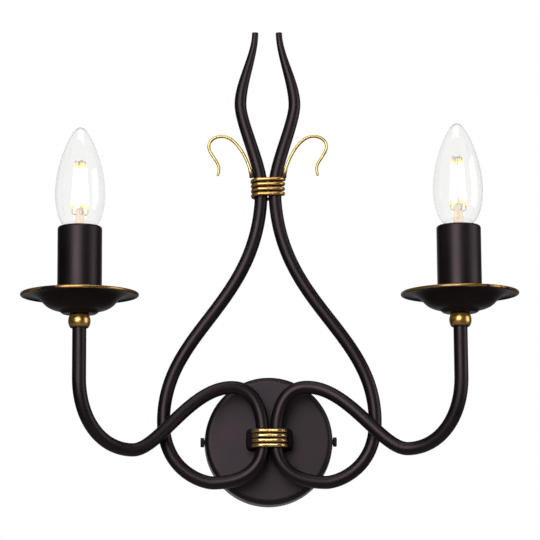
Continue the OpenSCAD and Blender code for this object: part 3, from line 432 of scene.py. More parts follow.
class Finish(Nodes):
    """A material, with its tree of nodes and its main shader."""

    def __init__(self, name):
        self.material = bpy.data.materials.new(name)
        super().__init__(self.material)
        self.shader = self.tree.nodes["Principled BSDF"]
        self.place = self.add("TexCoord").outputs["Object"]

    def noise(self, scale, detail=4.0, stretch=(1, 1, 1), roughness=0.55):
        """Soft random patches, about 1 / scale metres across, stretched along the axes."""
        moved = self.add("Mapping", Vector=self.place, Scale=stretch).outputs["Vector"]
        node = self.add("TexNoise", Vector=moved, Scale=scale, Detail=detail, Roughness=roughness)
        return node.outputs["Fac"]

    def mix(self, share, a, b):
        """Colour a, turning into colour b as the share goes from 0 to 1."""
        node = self.add("Mix", {"data_type": "RGBA"})
        sockets = [s for s in node.inputs if s.enabled]
        for socket, value in zip(sockets, (share, a, b)):
            self.fill(socket, value)
        return next(s for s in node.outputs if s.enabled)

    def attribute(self, name):
        """A value stored on the mesh's points."""
        return self.add("Attribute", {"attribute_name": name}).outputs["Fac"]

    def bump(self, height, depth, strength=1.0):
        """Small relief of the given depth in metres; the last bump added lies on top."""
        node = self.add("Bump", Height=height, Distance=depth, Strength=strength)
        if self.shader.inputs["Normal"].is_linked:
            below = self.shader.inputs["Normal"].links[0].from_socket
            self.tree.links.new(below, node.inputs["Normal"])
        self.fill(self.shader.inputs["Normal"], node.outputs["Normal"])

    def surface(self, **inputs):
        """Fills the shader's own inputs, again with underscores for spaces."""
        for key, value in inputs.items():
            self.fill(self.shader.inputs[key.replace("_", " ")], value)


def store(piece, name, values):
    """Stores one value for each point of a piece, for its finish to read."""
    attribute = piece.data.attributes.new(name, "FLOAT", "POINT")
    attribute.data.foreach_set("value", np.asarray(values, np.float32).ravel())


def dress(piece, finish, body, node):
    """Puts a piece's finish in a slot and the piece on its body, and hides the packed piece."""
    piece.data.materials.append(finish.material)
    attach(piece, body)
    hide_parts(node)


def points_of(piece):
    """The points of a piece in millimetres, as an (n, 3) array."""
    co = np.empty(len(piece.data.vertices) * 3)
    piece.data.vertices.foreach_get("co", co)
    return co.reshape(-1, 3) / MM


print("mid grey on a screen is", round(linear(128, 128, 128)[0], 3), "as light")

# %% [markdown]
# ## Dark paint
#
# The tubes, sleeves and back plate are steel under a matt brown-black paint, sprayed in one coat.
# Sprayed paint has a fine orange-peel grain, and its sheen changes a little from patch to patch.
# Both come from noise, one far finer than the other.

# %% Dark paint
PAINT_DEEP = linear(8, 4, 6)
PAINT_WARM = linear(14, 9, 11)
SHEEN_TINT = (1.0, 0.78, 0.88, 1.0)
PATCH_SCALE = 45
GRAIN_SCALE = 1400


def painted(name, deep=PAINT_DEEP, warm=PAINT_WARM, low=0.38, high=0.48, gloss=0.32):
    """Brown-black sprayed paint, its roughness between low and high."""
    finish = Finish(name)
    patches = finish.noise(PATCH_SCALE, 5)
    grain = finish.noise(GRAIN_SCALE, 2)
    finish.surface(Base_Color=finish.mix(finish.stretch(patches, 0.35, 0.7), deep, warm),
                   Roughness=finish.stretch(patches, 0.3, 0.7, low, high),
                   Specular_IOR_Level=gloss, Specular_Tint=SHEEN_TINT)
    finish.bump(grain, 0.00002, 0.35)
    return finish


dark_paint = painted("dark_paint")
plate_paint = painted("plate_paint", linear(9, 6, 7), linear(14, 10, 11), 0.44, 0.52, 0.36)
# The hub block's paint is the dark paint with its sheen nearly taken off: painted shade, a shaded
# copy for the shadow the block sits in.
shaded_block_paint = painted("shaded_block_paint", linear(8, 5, 6), linear(13, 9, 10), 0.5, 0.6, 0.06)
print("paints:", dark_paint.material.name, plate_paint.material.name, shaded_block_paint.material.name)

# %% [markdown]
# ## Antique gilding
#
# The wires, hooks and beads were brushed with gold paint over brown and rubbed back, so the high
# places shine and brown patina stays in the hollows. Each piece stores a value that turns its gold
# brown: partly that patina, and partly painted shade between wires, on edges and towards ends.
# Noise frays the line between the two, so that it looks rubbed by hand.

# %% Gilding
GOLD_BRIGHT = linear(236, 190, 116)
GOLD_DULL = linear(172, 124, 58)
# Brown of the patina and of the painted shade that a stored value lays over the gold.
PATINA_AND_SHADE_BROWN = linear(46, 24, 8)


def gilded(name, bright=GOLD_BRIGHT, dull=GOLD_DULL, start=0.45, end=0.95, worn=0.2,
           shine=0.28, relief=0.5):
    """Gold over brown where a stored value says patina and painted shade; noise frays the edge."""
    finish = Finish(name)
    # The stored value: patina in the hollows and painted shade, as each piece works it out.
    hollow = finish.attribute("hollow")
    cloud = finish.noise(210, 6, roughness=0.6)
    fine = finish.noise(900, 3)
    frayed = finish.maths("ADD", hollow, finish.stretch(cloud, 0.3, 0.75, -worn, worn + 0.08))
    brown = finish.stretch(frayed, start, end)
    gold = finish.mix(finish.stretch(cloud, 0.3, 0.7), dull, bright)
    finish.surface(Base_Color=finish.mix(brown, gold, PATINA_AND_SHADE_BROWN),
                   Metallic=finish.stretch(brown, 0, 1, 0.95, 0.3),
                   Roughness=finish.stretch(brown, 0, 1, shine, 0.6))
    finish.bump(cloud, 0.0002, relief)
    finish.bump(fine, 0.00003, relief)
    return finish


gilt = gilded("gilt")
# The binding's gold is a lighter copy of the gilding: painted light, for the stronger light on the
# hub binding.
gilt_binding_painted_light = gilded("gilt_binding_painted_light", linear(255, 222, 156), linear(206, 152, 76),
                      start=0.4, end=0.8, worn=0.25, shine=0.2, relief=0.8)
gilt_bead = gilded("gilt_bead", start=0.5, end=0.9, shine=0.3)
gilt_hook = gilded("gilt_hook", linear(206, 180, 112), linear(172, 146, 82),
                   start=0.35, end=1.1, worn=0.04, shine=0.36, relief=0.05)
print("gilding:", gilt.material.name, gilt_bead.material.name, gilt_hook.material.name)

# %% [markdown]
# ## Scrolled tubes
#
# Each tube is drawn down at its far end, bent hot into the S of the finial, a long drop and a low
# loop, and led up through the hub, over a second loop and out to the candle. Its centre line is a
# chain of cubic curves between a dozen stations. Each station says where the tube is, where it
# heads and how thick it is.

# %% Scrolled tubes
ARM_D = 9.8
SCROLL_D = 9.3
WAIST_D = 9.2
FINIAL_D = 8.6
TIP_D = 4.6
PAIR_X = (SCROLL_D + 0.6) / 2
WAIST_X = (WAIST_D + 0.4) / 2
TIP_SPREAD = 3.8
FINIAL_SWELL = 19.4
FINIAL_RISE = 61
DROP_SWING = 74.5
DROP_Z = 12
LOW_X, LOW_Z = 39.5, -31.0
LOOP_X, LOOP_Z = 26, 36.0
DIP_IN, DIP_Z = 36, -9.5
DIP_SHARE = 0.56
ARM_RUN = 130
BEND_Z = 39
HUB_STRAIGHT = 7.6
NIPPLE_GRIP = 12.0
TUBE_IN_BEAD = 1.25
TUBE_COLUMNS = 48
tube_top_z = bead_z + TUBE_IN_BEAD
tube_reach, candle_reach = -tube_y, -candle_y
arm_lean = (candle_reach - tube_reach) / ARM_RUN


def station(side, x, reach, z, angle, lean, h_in, h_out, d):
    """One station of a tube: its point, heading, two handle lengths and radius."""
    a = math.radians(angle)
    return [[side * x, -reach, z], [side * math.cos(a), -lean, math.sin(a)], h_in, h_out, d / 2]


def scroll_stations(side):
    """The stations of one tube from the cut tip to the candle."""
    back, front = tube_reach, candle_reach
    dip_reach = back + (front - back) * DIP_SHARE
    return [
        station(side, WAIST_X + TIP_SPREAD, back, tip_z, -90, 0, 0, 16, TIP_D),
        station(side, FINIAL_SWELL, back, waist_z + FINIAL_RISE, -90, 0, 16, 14, FINIAL_D),
        station(side, WAIST_X, back, waist_z, -90, 0, 17, 85, WAIST_D),
        station(side, DROP_SWING, back, DROP_Z, -90, 0, 66, 34, SCROLL_D),
        station(side, LOW_X, back, LOW_Z, 180, 0, 8, 32, SCROLL_D),
        station(side, PAIR_X, back, -HUB_STRAIGHT, 90, 0, 2, 4, SCROLL_D),
        station(side, PAIR_X, back, HUB_STRAIGHT, 90, 0, 4, 2, SCROLL_D),
        station(side, LOOP_X, back + 1, LOOP_Z, 0, arm_lean * 0.4, 20, 30, SCROLL_D),
        station(side, candle_x - DIP_IN, dip_reach, DIP_Z, 0, arm_lean, 18, 22, SCROLL_D),
        station(side, candle_x, front, BEND_Z, 90, 0, 28, 5, ARM_D),
        station(side, candle_x, front, tube_top_z - NIPPLE_GRIP, 90, 0, 5, 3, ARM_D),
        station(side, candle_x, front, tube_top_z, 90, 0, 3, 0, ARM_D)]


for name, side in SIDES.items():
    path_points, path_radii = route(scroll_stations(side))
    tube = swept(f"scrolled_tube_{name}", path_points, path_radii, [0, 1, 0], TUBE_COLUMNS,
                 round_ends=0.1)
    dress(tube, dark_paint, "lamp", f"scroll_tube_{name}")
    length = lengths_along(path_points)[-1]
    print(tube.name, "is", round(length), "mm long, with", len(path_points), "rings")

# %% [markdown]
# ## Finial wrap
#
# Under the finial the two tubes are tied with four turns of thick wire. Seen from above, a turn is
# an arc about either tube with a straight run between. The wire follows the tubes as they part
# above the waist. The hollows between the turns hold brown patina and painted shade, and painted
# shade darkens the wire towards both of its ends.

# %% Finial wrap
WRAP_WIRE = 2.7
WRAP_PITCH = 3.5
WRAP_TURNS = 4
WRAP_SQUEEZE = 4
WRAP_COLUMNS = 28
TUBE_PARTING = 0.014
SEAT_GAP = 0.15
WRAP_SLACK = 0.1
WIRE_UNEVEN = 0.03
END_SHADE_RINGS = 14


# Used for painted shade with patina: a wire darkest above and below its middle, where it meets the
# next one.
def hollow_by_height(piece, wire_r, centres):
    """How far each point of a wire lies above or below its centre, as a share of its radius."""
    z = points_of(piece)[:, 2]
    return np.clip(np.abs(z - centres) / wire_r, 0, 1)


turn = np.linspace(0, WRAP_TURNS, WRAP_TURNS * 90 + 1)
angle = np.radians(90 + 360 * turn)
height = (turn - WRAP_TURNS / 2) * WRAP_PITCH
wrap_r = WAIST_D / 2 + WRAP_WIRE / 2 + SEAT_GAP + WRAP_SLACK
shift = WAIST_X + TUBE_PARTING * np.maximum(0, height) ** 2
wrap_path = np.stack([
    wrap_r * np.cos(angle) + shift * np.clip(WRAP_SQUEEZE * np.cos(angle), -1, 1),
    wrap_r * np.sin(angle) + tube_y,
    waist_z + height], -1)
rng = np.random.default_rng(7)
quarters = np.linspace(0, WRAP_TURNS, 4 * WRAP_TURNS + 1)
uneven = WIRE_UNEVEN * np.interp(turn, quarters, rng.random(len(quarters)))
wrap = swept("finial_wrap_wire", wrap_path, WRAP_WIRE / 2 * (1 - uneven), UP, WRAP_COLUMNS,
             round_ends=0.5)
ring = np.arange(len(wrap_path) + 2 * len(CAP_ANGLES)).repeat(WRAP_COLUMNS)
middle_of = np.clip(ring - len(CAP_ANGLES), 0, len(wrap_path) - 1)
centre_z = wrap_path[np.append(middle_of, [0, -1]), 2]
point = np.arange(len(ring))
from_end = np.minimum(point, point[::-1]) / WRAP_COLUMNS
# Painted shade: the wire darkens over its last rings at either end.
painted_end_shade = np.append(np.clip(1.4 - from_end / END_SHADE_RINGS, 0, 1), [1, 1])
store(wrap, "hollow", np.maximum(hollow_by_height(wrap, WRAP_WIRE / 2, centre_z), painted_end_shade))
dress(wrap, gilt, "lamp", "finial_wrap")
print("wrap:", len(wrap_path), "rings, between", np.round([wrap_path[0, 2], wrap_path[-1, 2]], 1))

# %% [markdown]
# ## Hub binding
#
# At the hub, four short wires are bent over both tubes, and their ends are let into the block.
# Each is a staple: a leg, a quarter turn over the left tube, a straight run across, a quarter
# turn over the right tube and a leg.

# %% Hub binding
BIND_WIRE = 3.0
BIND_PITCH = 3.4
BIND_R = SCROLL_D / 2 + BIND_WIRE / 2 + SEAT_GAP
BIND_LEG_REACH = 34.0
BIND_COLUMNS = 32
STAPLES = 4
BIND_UNEVEN = 0.025


def staple(z):
    """The centre line of one binding wire at a height, from the left leg to the right one."""
    quarter = np.radians(np.linspace(90, 0, 24))
    right = np.stack([PAIR_X + BIND_R * np.sin(quarter), tube_y - BIND_R * np.cos(quarter)], -1)
    half = np.vstack([upright(PAIR_X + BIND_R, -BIND_LEG_REACH, tube_y, 6)[:-1], right])
    across = upright(tube_y - BIND_R, PAIR_X, -PAIR_X, 14)[1:-1, ::-1]
    flat = np.vstack([half, across, (half * [-1, 1])[::-1]])[::-1]
    return np.column_stack([flat, np.full(len(flat), z)])


for i in range(STAPLES):
    z = (i - (STAPLES - 1) / 2) * BIND_PITCH
    line = staple(z)
    wobble = 1 + BIND_UNEVEN * np.sin(np.arange(len(line)) * 0.31 + 2.1 * i)
    wire = swept(f"hub_binding_{i + 1}", line, BIND_WIRE / 2 * wobble, UP, BIND_COLUMNS)
    # Painted shade, with patina: each wire darker above and below its middle, where the wires
    # meet.
    store(wire, "hollow", hollow_by_height(wire, BIND_WIRE / 2, z))
    dress(wire, gilt_binding_painted_light, "lamp", "hub_binding")
print("binding:", STAPLES, "staples,", round(2 * (PAIR_X + BIND_R), 1), "mm wide")

# %% [markdown]
# ## Hooks
#
# A flattened strip is welded to the outer side of each tube over the wrap. It runs up along the
# tube, turns out and down, and ends in a cut point. The weld leaves a brown lump at its foot.
# The strip has a squarish section and its blows can still be seen, so its width varies. Its
# sides, between its front and back faces, are darker with painted shade.

# %% Hooks
HOOK_T = 2.1
HOOK_W = 3.0
HOOK_REACH = 42.2
HOOK_RISE = 37.5
HOOK_FOOT_SHARE = 0.84
HOOK_COLUMNS = 28
WELD_LUMPS = [(1, 0, 2.6), (0.45, 4.2, 1.5)]
BLOW_DEPTH = 0.04


def hook_stations(side):
    """The stations of a hook, from the weld on the tube to the cut end."""
    finial, waist = scroll_stations(side)[1:3]
    p, r0 = np.array(finial[0]), finial[4]
    q, r1 = np.array(waist[0]), waist[4]
    b = p + np.array(finial[1]) * finial[3]
    c = q - np.array(waist[1]) * waist[2]
    near, above = cubic(p, b, c, q, [HOOK_FOOT_SHARE, HOOK_FOOT_SHARE - 0.02])
    up = unit(above - near)
    out = unit(np.array([side * up[2], 0, -side * up[0]]))
    r = r0 + (r1 - r0) * HOOK_FOOT_SHARE + HOOK_T / 2 + SEAT_GAP
    top = waist_z + HOOK_RISE
    end = unit(np.array([side * 0.3, 0, -1]))
    half = HOOK_T / 2
    stations = [[near + out * r, up, 0, 14, half]]
    for back, fall, heading, h_in, h_out, radius in (
            (9.4, 0, [side, 0, 0], 10, 5.4, half), (0, 7.6, DOWN, 4.4, 5, half),
            (7.2, 23.5, DOWN, 5, 2.4, half - 0.1), (6.4, 28.4, end, 1.6, 0, half - 0.2)):
        point = [side * (HOOK_REACH - back), tube_y, top - fall]
        stations.append([point, heading, h_in, h_out, radius])
    return stations


for name, side in SIDES.items():
    line, radii = route(hook_stations(side), 0.5)
    s = lengths_along(line)
    lump = sum(high * np.exp(-((s - at) / wide) ** 2) for high, at, wide in WELD_LUMPS)
    blows = BLOW_DEPTH * np.sin(s * 0.45 + side)
    flat = HOOK_W / HOOK_T * (1 + blows) / (1 + 0.55 * lump)
    hook = swept(f"hook_strip_{name}", line, radii * (1 + 0.75 * lump), [0, 1, 0], HOOK_COLUMNS,
                 flat=flat, round_ends=0.35, square=0.75)
    from_foot = np.linalg.norm(points_of(hook) - line[0], axis=1)
    edge = np.clip(np.abs(points_of(hook)[:, 1] - tube_y) / (HOOK_W / 2), 0, 1)
    # Brown at the weld's foot, and painted shade on the strip's sides between front and back
    # faces.
    store(hook, "hollow", np.clip(1.6 - from_foot / 4, 0, 1.2) + 0.45 * (1 - edge))
    dress(hook, gilt_hook, "lamp", f"hook_{name}")
    print(hook.name, "is", round(s[-1], 1), "mm long")

# %% [markdown]
# ## Beads
#
# Under each drip pan sits a turned bead, a ball with its top and foot cut flat. It is bored for
# the nipple and sunk a little for the tube. The gold is brightest round the middle, and brown,
# partly patina and partly painted shade, darkens it towards the top and the foot.

# %% Beads
BEAD_D = 15.6
BEAD_H = 9.6
BEAD_BORE = 4.15
TUBE_SEAT = 1.4
bead_mid = bead_z + BEAD_H / 2
half_angle = math.degrees(math.asin(BEAD_H / BEAD_D))
ball = arc(0, bead_mid, BEAD_D / 2, -half_angle + 2, half_angle - 2, 40)
flat_r = BEAD_D / 2 * math.cos(math.radians(half_angle)) - 0.25
seat_r, bead_top = ARM_D / 2 + SEAT_GAP, bead_z + BEAD_H
bead_profile = np.vstack([
    [[seat_r, bead_z], [flat_r, bead_z]], ball, [[flat_r, bead_top], [BEAD_BORE, bead_top]],
    [[BEAD_BORE, bead_z + TUBE_SEAT], [seat_r, bead_z + TUBE_SEAT]]])

for name, axis in candle_axis.items():
    bead = revolved(f"turned_bead_{name}", bead_profile, axis, 96, closed=True)
    z = points_of(bead)[:, 2]
    # Patina and painted shade: the ball darker towards its top and its foot.
    store(bead, "hollow", np.clip(np.abs(z - bead_mid) / (BEAD_H / 2), 0, 1) ** 1.2)
    dress(bead, gilt_bead, "lamp", f"bead_{name}")
print("bead:", BEAD_D, "mm across and", BEAD_H, "mm high")

# %% [markdown]
# ## Drip pans
#
# A drip pan is spun from sheet. An ogee runs in from the rolled rim to the bowl, which stands on
# a small foot. It is painted dark, and the rim is then brushed with gold, heavier in some places.
# The inside follows the outside at one sheet's distance.

# %% Drip pans
PAN_DEPTH = 13.3
PAN_WALL = 1.0
RIM_R = 1.2
RIM_LIFT = 0.2
RIM_JOIN = 25
PAN_FALL = PAN_DEPTH - 2.4
PAN_HOLLOW = 3.4
FLANGE_W = 14.8
FLANGE_SHARE = 0.53
BOWL_IN = 24.6
FOOT_R = 11.4
GOLD_CREST = math.radians(24)
rim_x = pan_r - RIM_R
pan_rim_z = pan_foot_z + PAN_DEPTH
flange_x, flange_z = rim_x - FLANGE_W, -PAN_FALL * FLANGE_SHARE
bowl_x = rim_x - BOWL_IN


def offset_line(line, distance):
    """A profile moved sideways, to the right of its direction, by a distance."""
    d = unit(np.gradient(line, axis=0))
    return line + np.stack([d[:, 1], -d[:, 0]], -1) * distance


rim_start = arc(rim_x, RIM_LIFT, RIM_R, 180 + RIM_JOIN, 180 + RIM_JOIN, 1)[0]
bend, bowl = [flange_x, flange_z], [bowl_x, -PAN_FALL]
upper = cubic(rim_start, [rim_x - 7, 1.3], [flange_x + 4.6, flange_z + 5.0], bend, 26)
lower = cubic(bend, [flange_x - 2.7, flange_z - 3.1], [bowl_x + 3.6, 0.7 - PAN_FALL], bowl, 26)
foot = cubic(bowl, [bowl_x - 2.2, -PAN_FALL - 0.4], [FOOT_R + 1.2, -PAN_DEPTH],
             [FOOT_R - 0.9, -PAN_DEPTH], 26)
pan_under = np.vstack([upper, lower[1:]])
pan_over = offset_line(pan_under, PAN_WALL)
pan_floor = PAN_HOLLOW - PAN_DEPTH
roll = arc(rim_x, RIM_LIFT, RIM_R, 180 - RIM_JOIN, -180 + RIM_JOIN, 34)[1:-1]
pan_profile = np.vstack([
    pan_under, foot[1:],
    [[BEAD_BORE, -PAN_DEPTH], [BEAD_BORE, pan_floor], [bowl_x - 0.2, pan_floor]],
    pan_over[-2:0:-1], roll])[::-1]
pan_profile[:, 1] += pan_rim_z


def pan_finish(name):
    """Dark paint with gold brushed on where the attribute "gold" is high, frayed by noise."""
    finish = painted(name, linear(27, 16, 18), linear(35, 23, 24), 0.44, 0.56, 0.07)
    paint_colour = finish.shader.inputs["Base Color"].links[0].from_socket
    gold_share = finish.attribute("gold")
    strokes = finish.noise(70, 6, roughness=0.65)
    edge = finish.maths("ADD", gold_share, finish.stretch(strokes, 0.32, 0.68, -0.6, 0.24))
    gold = finish.stretch(edge, 0.36, 0.6)
    tone = finish.mix(finish.stretch(finish.noise(45, 3), 0.4, 0.6),
                      linear(140, 112, 84), linear(176, 136, 72))
    finish.surface(Base_Color=finish.mix(gold, paint_colour, tone),
                   Roughness=finish.stretch(gold, 0, 1, 0.48, 0.26),
                   Metallic=finish.stretch(gold, 0, 1, 0, 0.85))
    return finish


pan_paint = pan_finish("pan_paint")
for name, side in SIDES.items():
    pan = revolved(f"spun_pan_{name}", pan_profile, candle_axis[name], 192, closed=True)
    xyz = points_of(pan) - [*candle_axis[name], pan_rim_z]
    r = np.hypot(xyz[:, 0], xyz[:, 1])
    turned = np.arctan2(xyz[:, 1], xyz[:, 0])
    patchy = 0.8 + 0.16 * np.sin(3 * turned + 1.2 * side) + 0.12 * np.sin(7 * turned + 0.6)
    out, up = r - rim_x, xyz[:, 2] - RIM_LIFT
    on_roll = np.clip(4 - 3 * np.hypot(out, up) / RIM_R, 0, 1)
    crest = np.clip(1.7 * np.cos(np.arctan2(up, out) - GOLD_CREST), 0, 1)
    store(pan, "gold", on_roll * crest * patchy)
    dress(pan, pan_paint, "lamp", f"drip_pan_{name}")
print("pan:", round(2 * pan_r, 1), "mm across, rim at", round(pan_rim_z, 1))

# %% [markdown]
# ## Candle sleeves
#
# The sleeve that stands for the candle is a thin painted tube, rolled in at its mouth over the
# lampholder. It is open below, so a bulb's heat can rise through it.

# %% Candle sleeves
SLEEVE_WALL = 1.2
SHOULDER_R = 2.0
shoulder_x, shoulder_z = sleeve_r - SHOULDER_R, sleeve_top_z - SHOULDER_R
sleeve_profile = np.vstack([
    [[sleeve_r - SLEEVE_WALL, sleeve_z], [sleeve_r - 0.2, sleeve_z], [sleeve_r, sleeve_z + 0.2]],
    upright(sleeve_r, sleeve_z + 2, shoulder_z - 1, 20),
    arc(shoulder_x, shoulder_z, SHOULDER_R, 0, 90, 14),
    arc(shoulder_x, shoulder_z, SHOULDER_R - SLEEVE_WALL, 90, 0, 10)])

for name, axis in candle_axis.items():
    sleeve = revolved(f"painted_sleeve_{name}", sleeve_profile, axis, 160, closed=True)
    dress(sleeve, dark_paint, f"sleeve_{name}", f"candle_sleeve_{name}")
print("sleeve:", round(2 * sleeve_r, 1), "by", round(sleeve_top_z - sleeve_z, 1), "mm")

# %% [markdown]
# ## Bulb glass
#
# The bulb is blown in the shape of a flame. Its wall is drawn as two surfaces, 0.8 mm apart, so
# light bends in and out again as in real glass, and the edges darken by themselves.
# Tiny waves round the glass give the faint streaks of blown glass.

# %% Bulb glass
GLASS_D = 35.0
GLASS_H = 73.4
GLASS_WALL = 0.8
NECK_R = 6.6
NECK_IN = 6.0
BELLY_SHARE = 0.365
BELLY_H = GLASS_H * BELLY_SHARE
GLASS_SUNK = 3.0
RAISE = {"left": 0.0, "right": 2.5}
glass_z = sleeve_top_z - GLASS_SUNK


def glass_line(inset):
    """The profile from the neck to the tip, moved in by a distance."""
    belly, throat, top = GLASS_D / 2 - inset, NECK_R - inset, GLASS_H - inset
    low = cubic([throat, 0], [throat + 7.2, 2.8], [belly, BELLY_H - 14], [belly, BELLY_H], 40)
    high = cubic([belly, BELLY_H], [belly, BELLY_H + 20], [6.4, top], [0, top], 60)
    return np.vstack([[[throat, -NECK_IN]], low, high[1:]])


def blown(angle, radius, height):
    """Waves a few hundredths of a millimetre high, running round and slowly up the glass."""
    wave = 0.018 * np.sin(5 * angle + 0.05 * height) + 0.010 * np.sin(11 * angle - 0.03 * height)
    return radius * (1 + wave / (GLASS_D / 2)), height


clear_glass = Finish("clear_glass")
film = clear_glass.stretch(clear_glass.noise(300, 3), 0.4, 0.8, 0.0, 0.012)
clear_glass.surface(Base_Color=(0.972, 0.971, 0.965, 1), Roughness=film, IOR=1.47,
                    Transmission_Weight=1.0)

glass_profile = np.vstack([glass_line(GLASS_WALL)[::-1], glass_line(0)])
for name, axis in candle_axis.items():
    glass = revolved(f"blown_glass_{name}", glass_profile + [0, glass_z + RAISE[name]], axis, 160,
                     spin=blown)
    dress(glass, clear_glass, f"bulb_{name}", f"bulb_glass_{name}")
print("glass:", GLASS_D, "mm across,", GLASS_H, "mm high")

# %% [markdown]
# ## Filaments
#
# Four thin bars stand in a ring and lean together at the top. Each is a strip of tiny lamps under
# a yellow coating. Lit, the bar is white in the middle, and at both ends, where the strip stops,
# the coating shows yellow. The bars give light of their own.

# %% Filaments
FILAMENTS = 4
FILAMENT_D = 1.8
FILAMENT_LENGTH = 31.0
FILAMENT_FOOT_R = 5.7
FILAMENT_HEAD_R = 3.5
FILAMENT_Z = 15.6
FILAMENT_TURN = 20
filament_lean = math.asin((FILAMENT_FOOT_R - FILAMENT_HEAD_R) / FILAMENT_LENGTH)
filament_rise = FILAMENT_LENGTH * math.cos(filament_lean)

glow = Finish("glow")
along_bar = glow.attribute("along")
ends = glow.stretch(glow.maths("ABSOLUTE", glow.maths("SUBTRACT", along_bar, 0.5), 0), 0.40, 0.47)
pearls = glow.stretch(glow.noise(1500, 1), 0.3, 0.7, 0.9, 1.1)
glow.surface(Base_Color=linear(240, 200, 90), Roughness=0.5,
             Emission_Color=glow.mix(ends, linear(255, 248, 232), linear(255, 226, 120)),
             Emission_Strength=glow.maths("MULTIPLY", pearls, glow.stretch(ends, 0, 1, 2.6, 1.0)))


def neck(name):
    """The middle of a bulb's neck."""
    return np.array([*candle_axis[name], glass_z + RAISE[name]])


angles = np.radians(FILAMENT_TURN + 360 * np.arange(FILAMENTS) / FILAMENTS)
spokes = np.stack([np.cos(angles), np.sin(angles), np.zeros(FILAMENTS)], -1)
for name in SIDES:
    for i, aim in enumerate(spokes):
        foot = neck(name) + UP * FILAMENT_Z + aim * FILAMENT_FOOT_R
        head = foot + aim * (FILAMENT_HEAD_R - FILAMENT_FOOT_R) + UP * filament_rise
        bar = swept(f"filament_{name}_{i + 1}", np.linspace(foot, head, 60), FILAMENT_D / 2, aim,
                    20, round_ends=0.4)
        store(bar, "along", (points_of(bar)[:, 2] - foot[2]) / filament_rise)
        dress(bar, glow, f"bulb_{name}", f"bulb_filaments_{name}")
print("filaments:", FILAMENTS, "a bulb, leaning", round(math.degrees(filament_lean), 1), "deg")

# %% [markdown]
# ## Stem and leads
#
# A glass stem is sealed into the neck and drawn in to a flat press. From it one post runs up to
# a small cross that holds the filaments' heads, and a short wire runs to each foot. Stamped metal
# tabs join the wires to the bars. The stem takes a faint orange tint from the coating's glow.

# %% Stem and leads
STEM_H = 16.4
STEM_R = 3.6
STEM_PRESS_H = 5.0
STEM_FOOT_R = NECK_R - GLASS_WALL - SEAT_GAP
LEAD_R = 0.35
ARM_R = 0.3
TAB_H = 2.6
TAB_W = 1.3
TAB_T = 0.6
stem_end = [STEM_R - 1.1, STEM_H - 2]
stem_line = np.vstack([
    [[0, -4], [STEM_FOOT_R - 0.2, -4]],
    cubic([STEM_FOOT_R, -3.8], [STEM_FOOT_R, -1], [STEM_R, 0], [STEM_R, 4], 18),
    cubic([STEM_R, 4], [STEM_R, 7], [STEM_R - 0.3, STEM_H - STEM_PRESS_H], stem_end, 16)[1:],
    cubic(stem_end, [STEM_R - 1.6, STEM_H - 0.7], [1.2, STEM_H], [0, STEM_H], 12)[1:]])

stem_glass = Finish("stem_glass")
tint = stem_glass.stretch(stem_glass.noise(260, 3, stretch=(1, 1, 0.3)), 0.35, 0.65)
stem_glass.surface(Base_Color=stem_glass.mix(tint, linear(255, 250, 240), linear(252, 228, 196)),
                   Roughness=0.06, IOR=1.5, Transmission_Weight=0.95)
lead_metal = Finish("lead_metal")
tarnish = lead_metal.noise(700, 3)
steel = lead_metal.mix(tarnish, linear(206, 196, 176), linear(240, 234, 220))
lead_metal.surface(Base_Color=steel, Metallic=0.6, Roughness=0.36)
lead_metal.bump(tarnish, 0.00003, 0.4)


def strip(name, centre, aim):
    """A small stamped tab: a box whose edges are rounded off."""
    across = np.array([-aim[1], aim[0], 0])
    cosine, sine = squarish(24, 0.35)
    ring = np.stack([cosine * TAB_T / 2, sine * TAB_W / 2], -1)
    levels = np.array([-0.5, -0.5, -0.47, -0.25, 0, 0.25, 0.47, 0.5, 0.5]) * TAB_H
    widths = np.array([0.8, 0.93, 1, 1, 1, 1, 1, 0.93, 0.8])
    flat = ring[None] * widths[:, None, None]
    grid = centre + flat[..., :1] * aim + flat[..., 1:] * across + levels[:, None, None] * UP
    return grid_mesh(name, grid, [centre + UP * levels[0], centre + UP * levels[-1]])


def joined(name, pieces):
    """Several meshes put into the first one, under one name."""
    with bpy.context.temp_override(active_object=pieces[0], selected_editable_objects=pieces,
                                   selected_objects=pieces, object=pieces[0]):
        bpy.ops.object.join()
    pieces[0].name = name
    return pieces[0]


head_z = FILAMENT_Z + filament_rise + 0.2
cross_z = head_z + TAB_H - 0.35
lead_z = STEM_H - STEM_PRESS_H
for name in SIDES:
    base = neck(name)
    stem = revolved(f"stem_{name}", stem_line + [0, base[2]], base[:2], 64)
    dress(stem, stem_glass, f"bulb_{name}", f"bulb_stem_{name}")
    post = base + np.linspace(UP * (STEM_H - 0.5), UP * cross_z, 12)
    parts = [swept("post", post, LEAD_R, [1, 0, 0], 12)]
    for aim in spokes:
        at_head, at_foot = aim * FILAMENT_HEAD_R, aim * (FILAMENT_FOOT_R + 0.1)
        arm = base + np.linspace(UP * cross_z, at_head + UP * cross_z, 8)
        head = base + at_head + UP * (head_z + TAB_H / 2)
        foot = base + at_foot + UP * (FILAMENT_Z - TAB_H / 2 - 0.05)
        out = cubic(aim * (STEM_R - 0.6) + UP * lead_z, aim * (STEM_R + 0.6) + UP * (lead_z - 0.2),
                    aim * FILAMENT_FOOT_R + UP * (lead_z + 0.2),
                    at_foot + UP * (FILAMENT_Z - TAB_H + 0.4), 12)
        parts += [swept("arm", arm, ARM_R, UP, 12, round_ends=0.5),
                  strip("head tab", head, aim), strip("foot tab", foot, aim),
                  swept("lead", base + out, LEAD_R, UP + aim * 0.01, 12)]
    leads = joined(f"leads_{name}", parts)
    dress(leads, lead_metal, f"bulb_{name}", f"bulb_leads_{name}")
print("cross at", round(cross_z, 1), "mm above the neck")

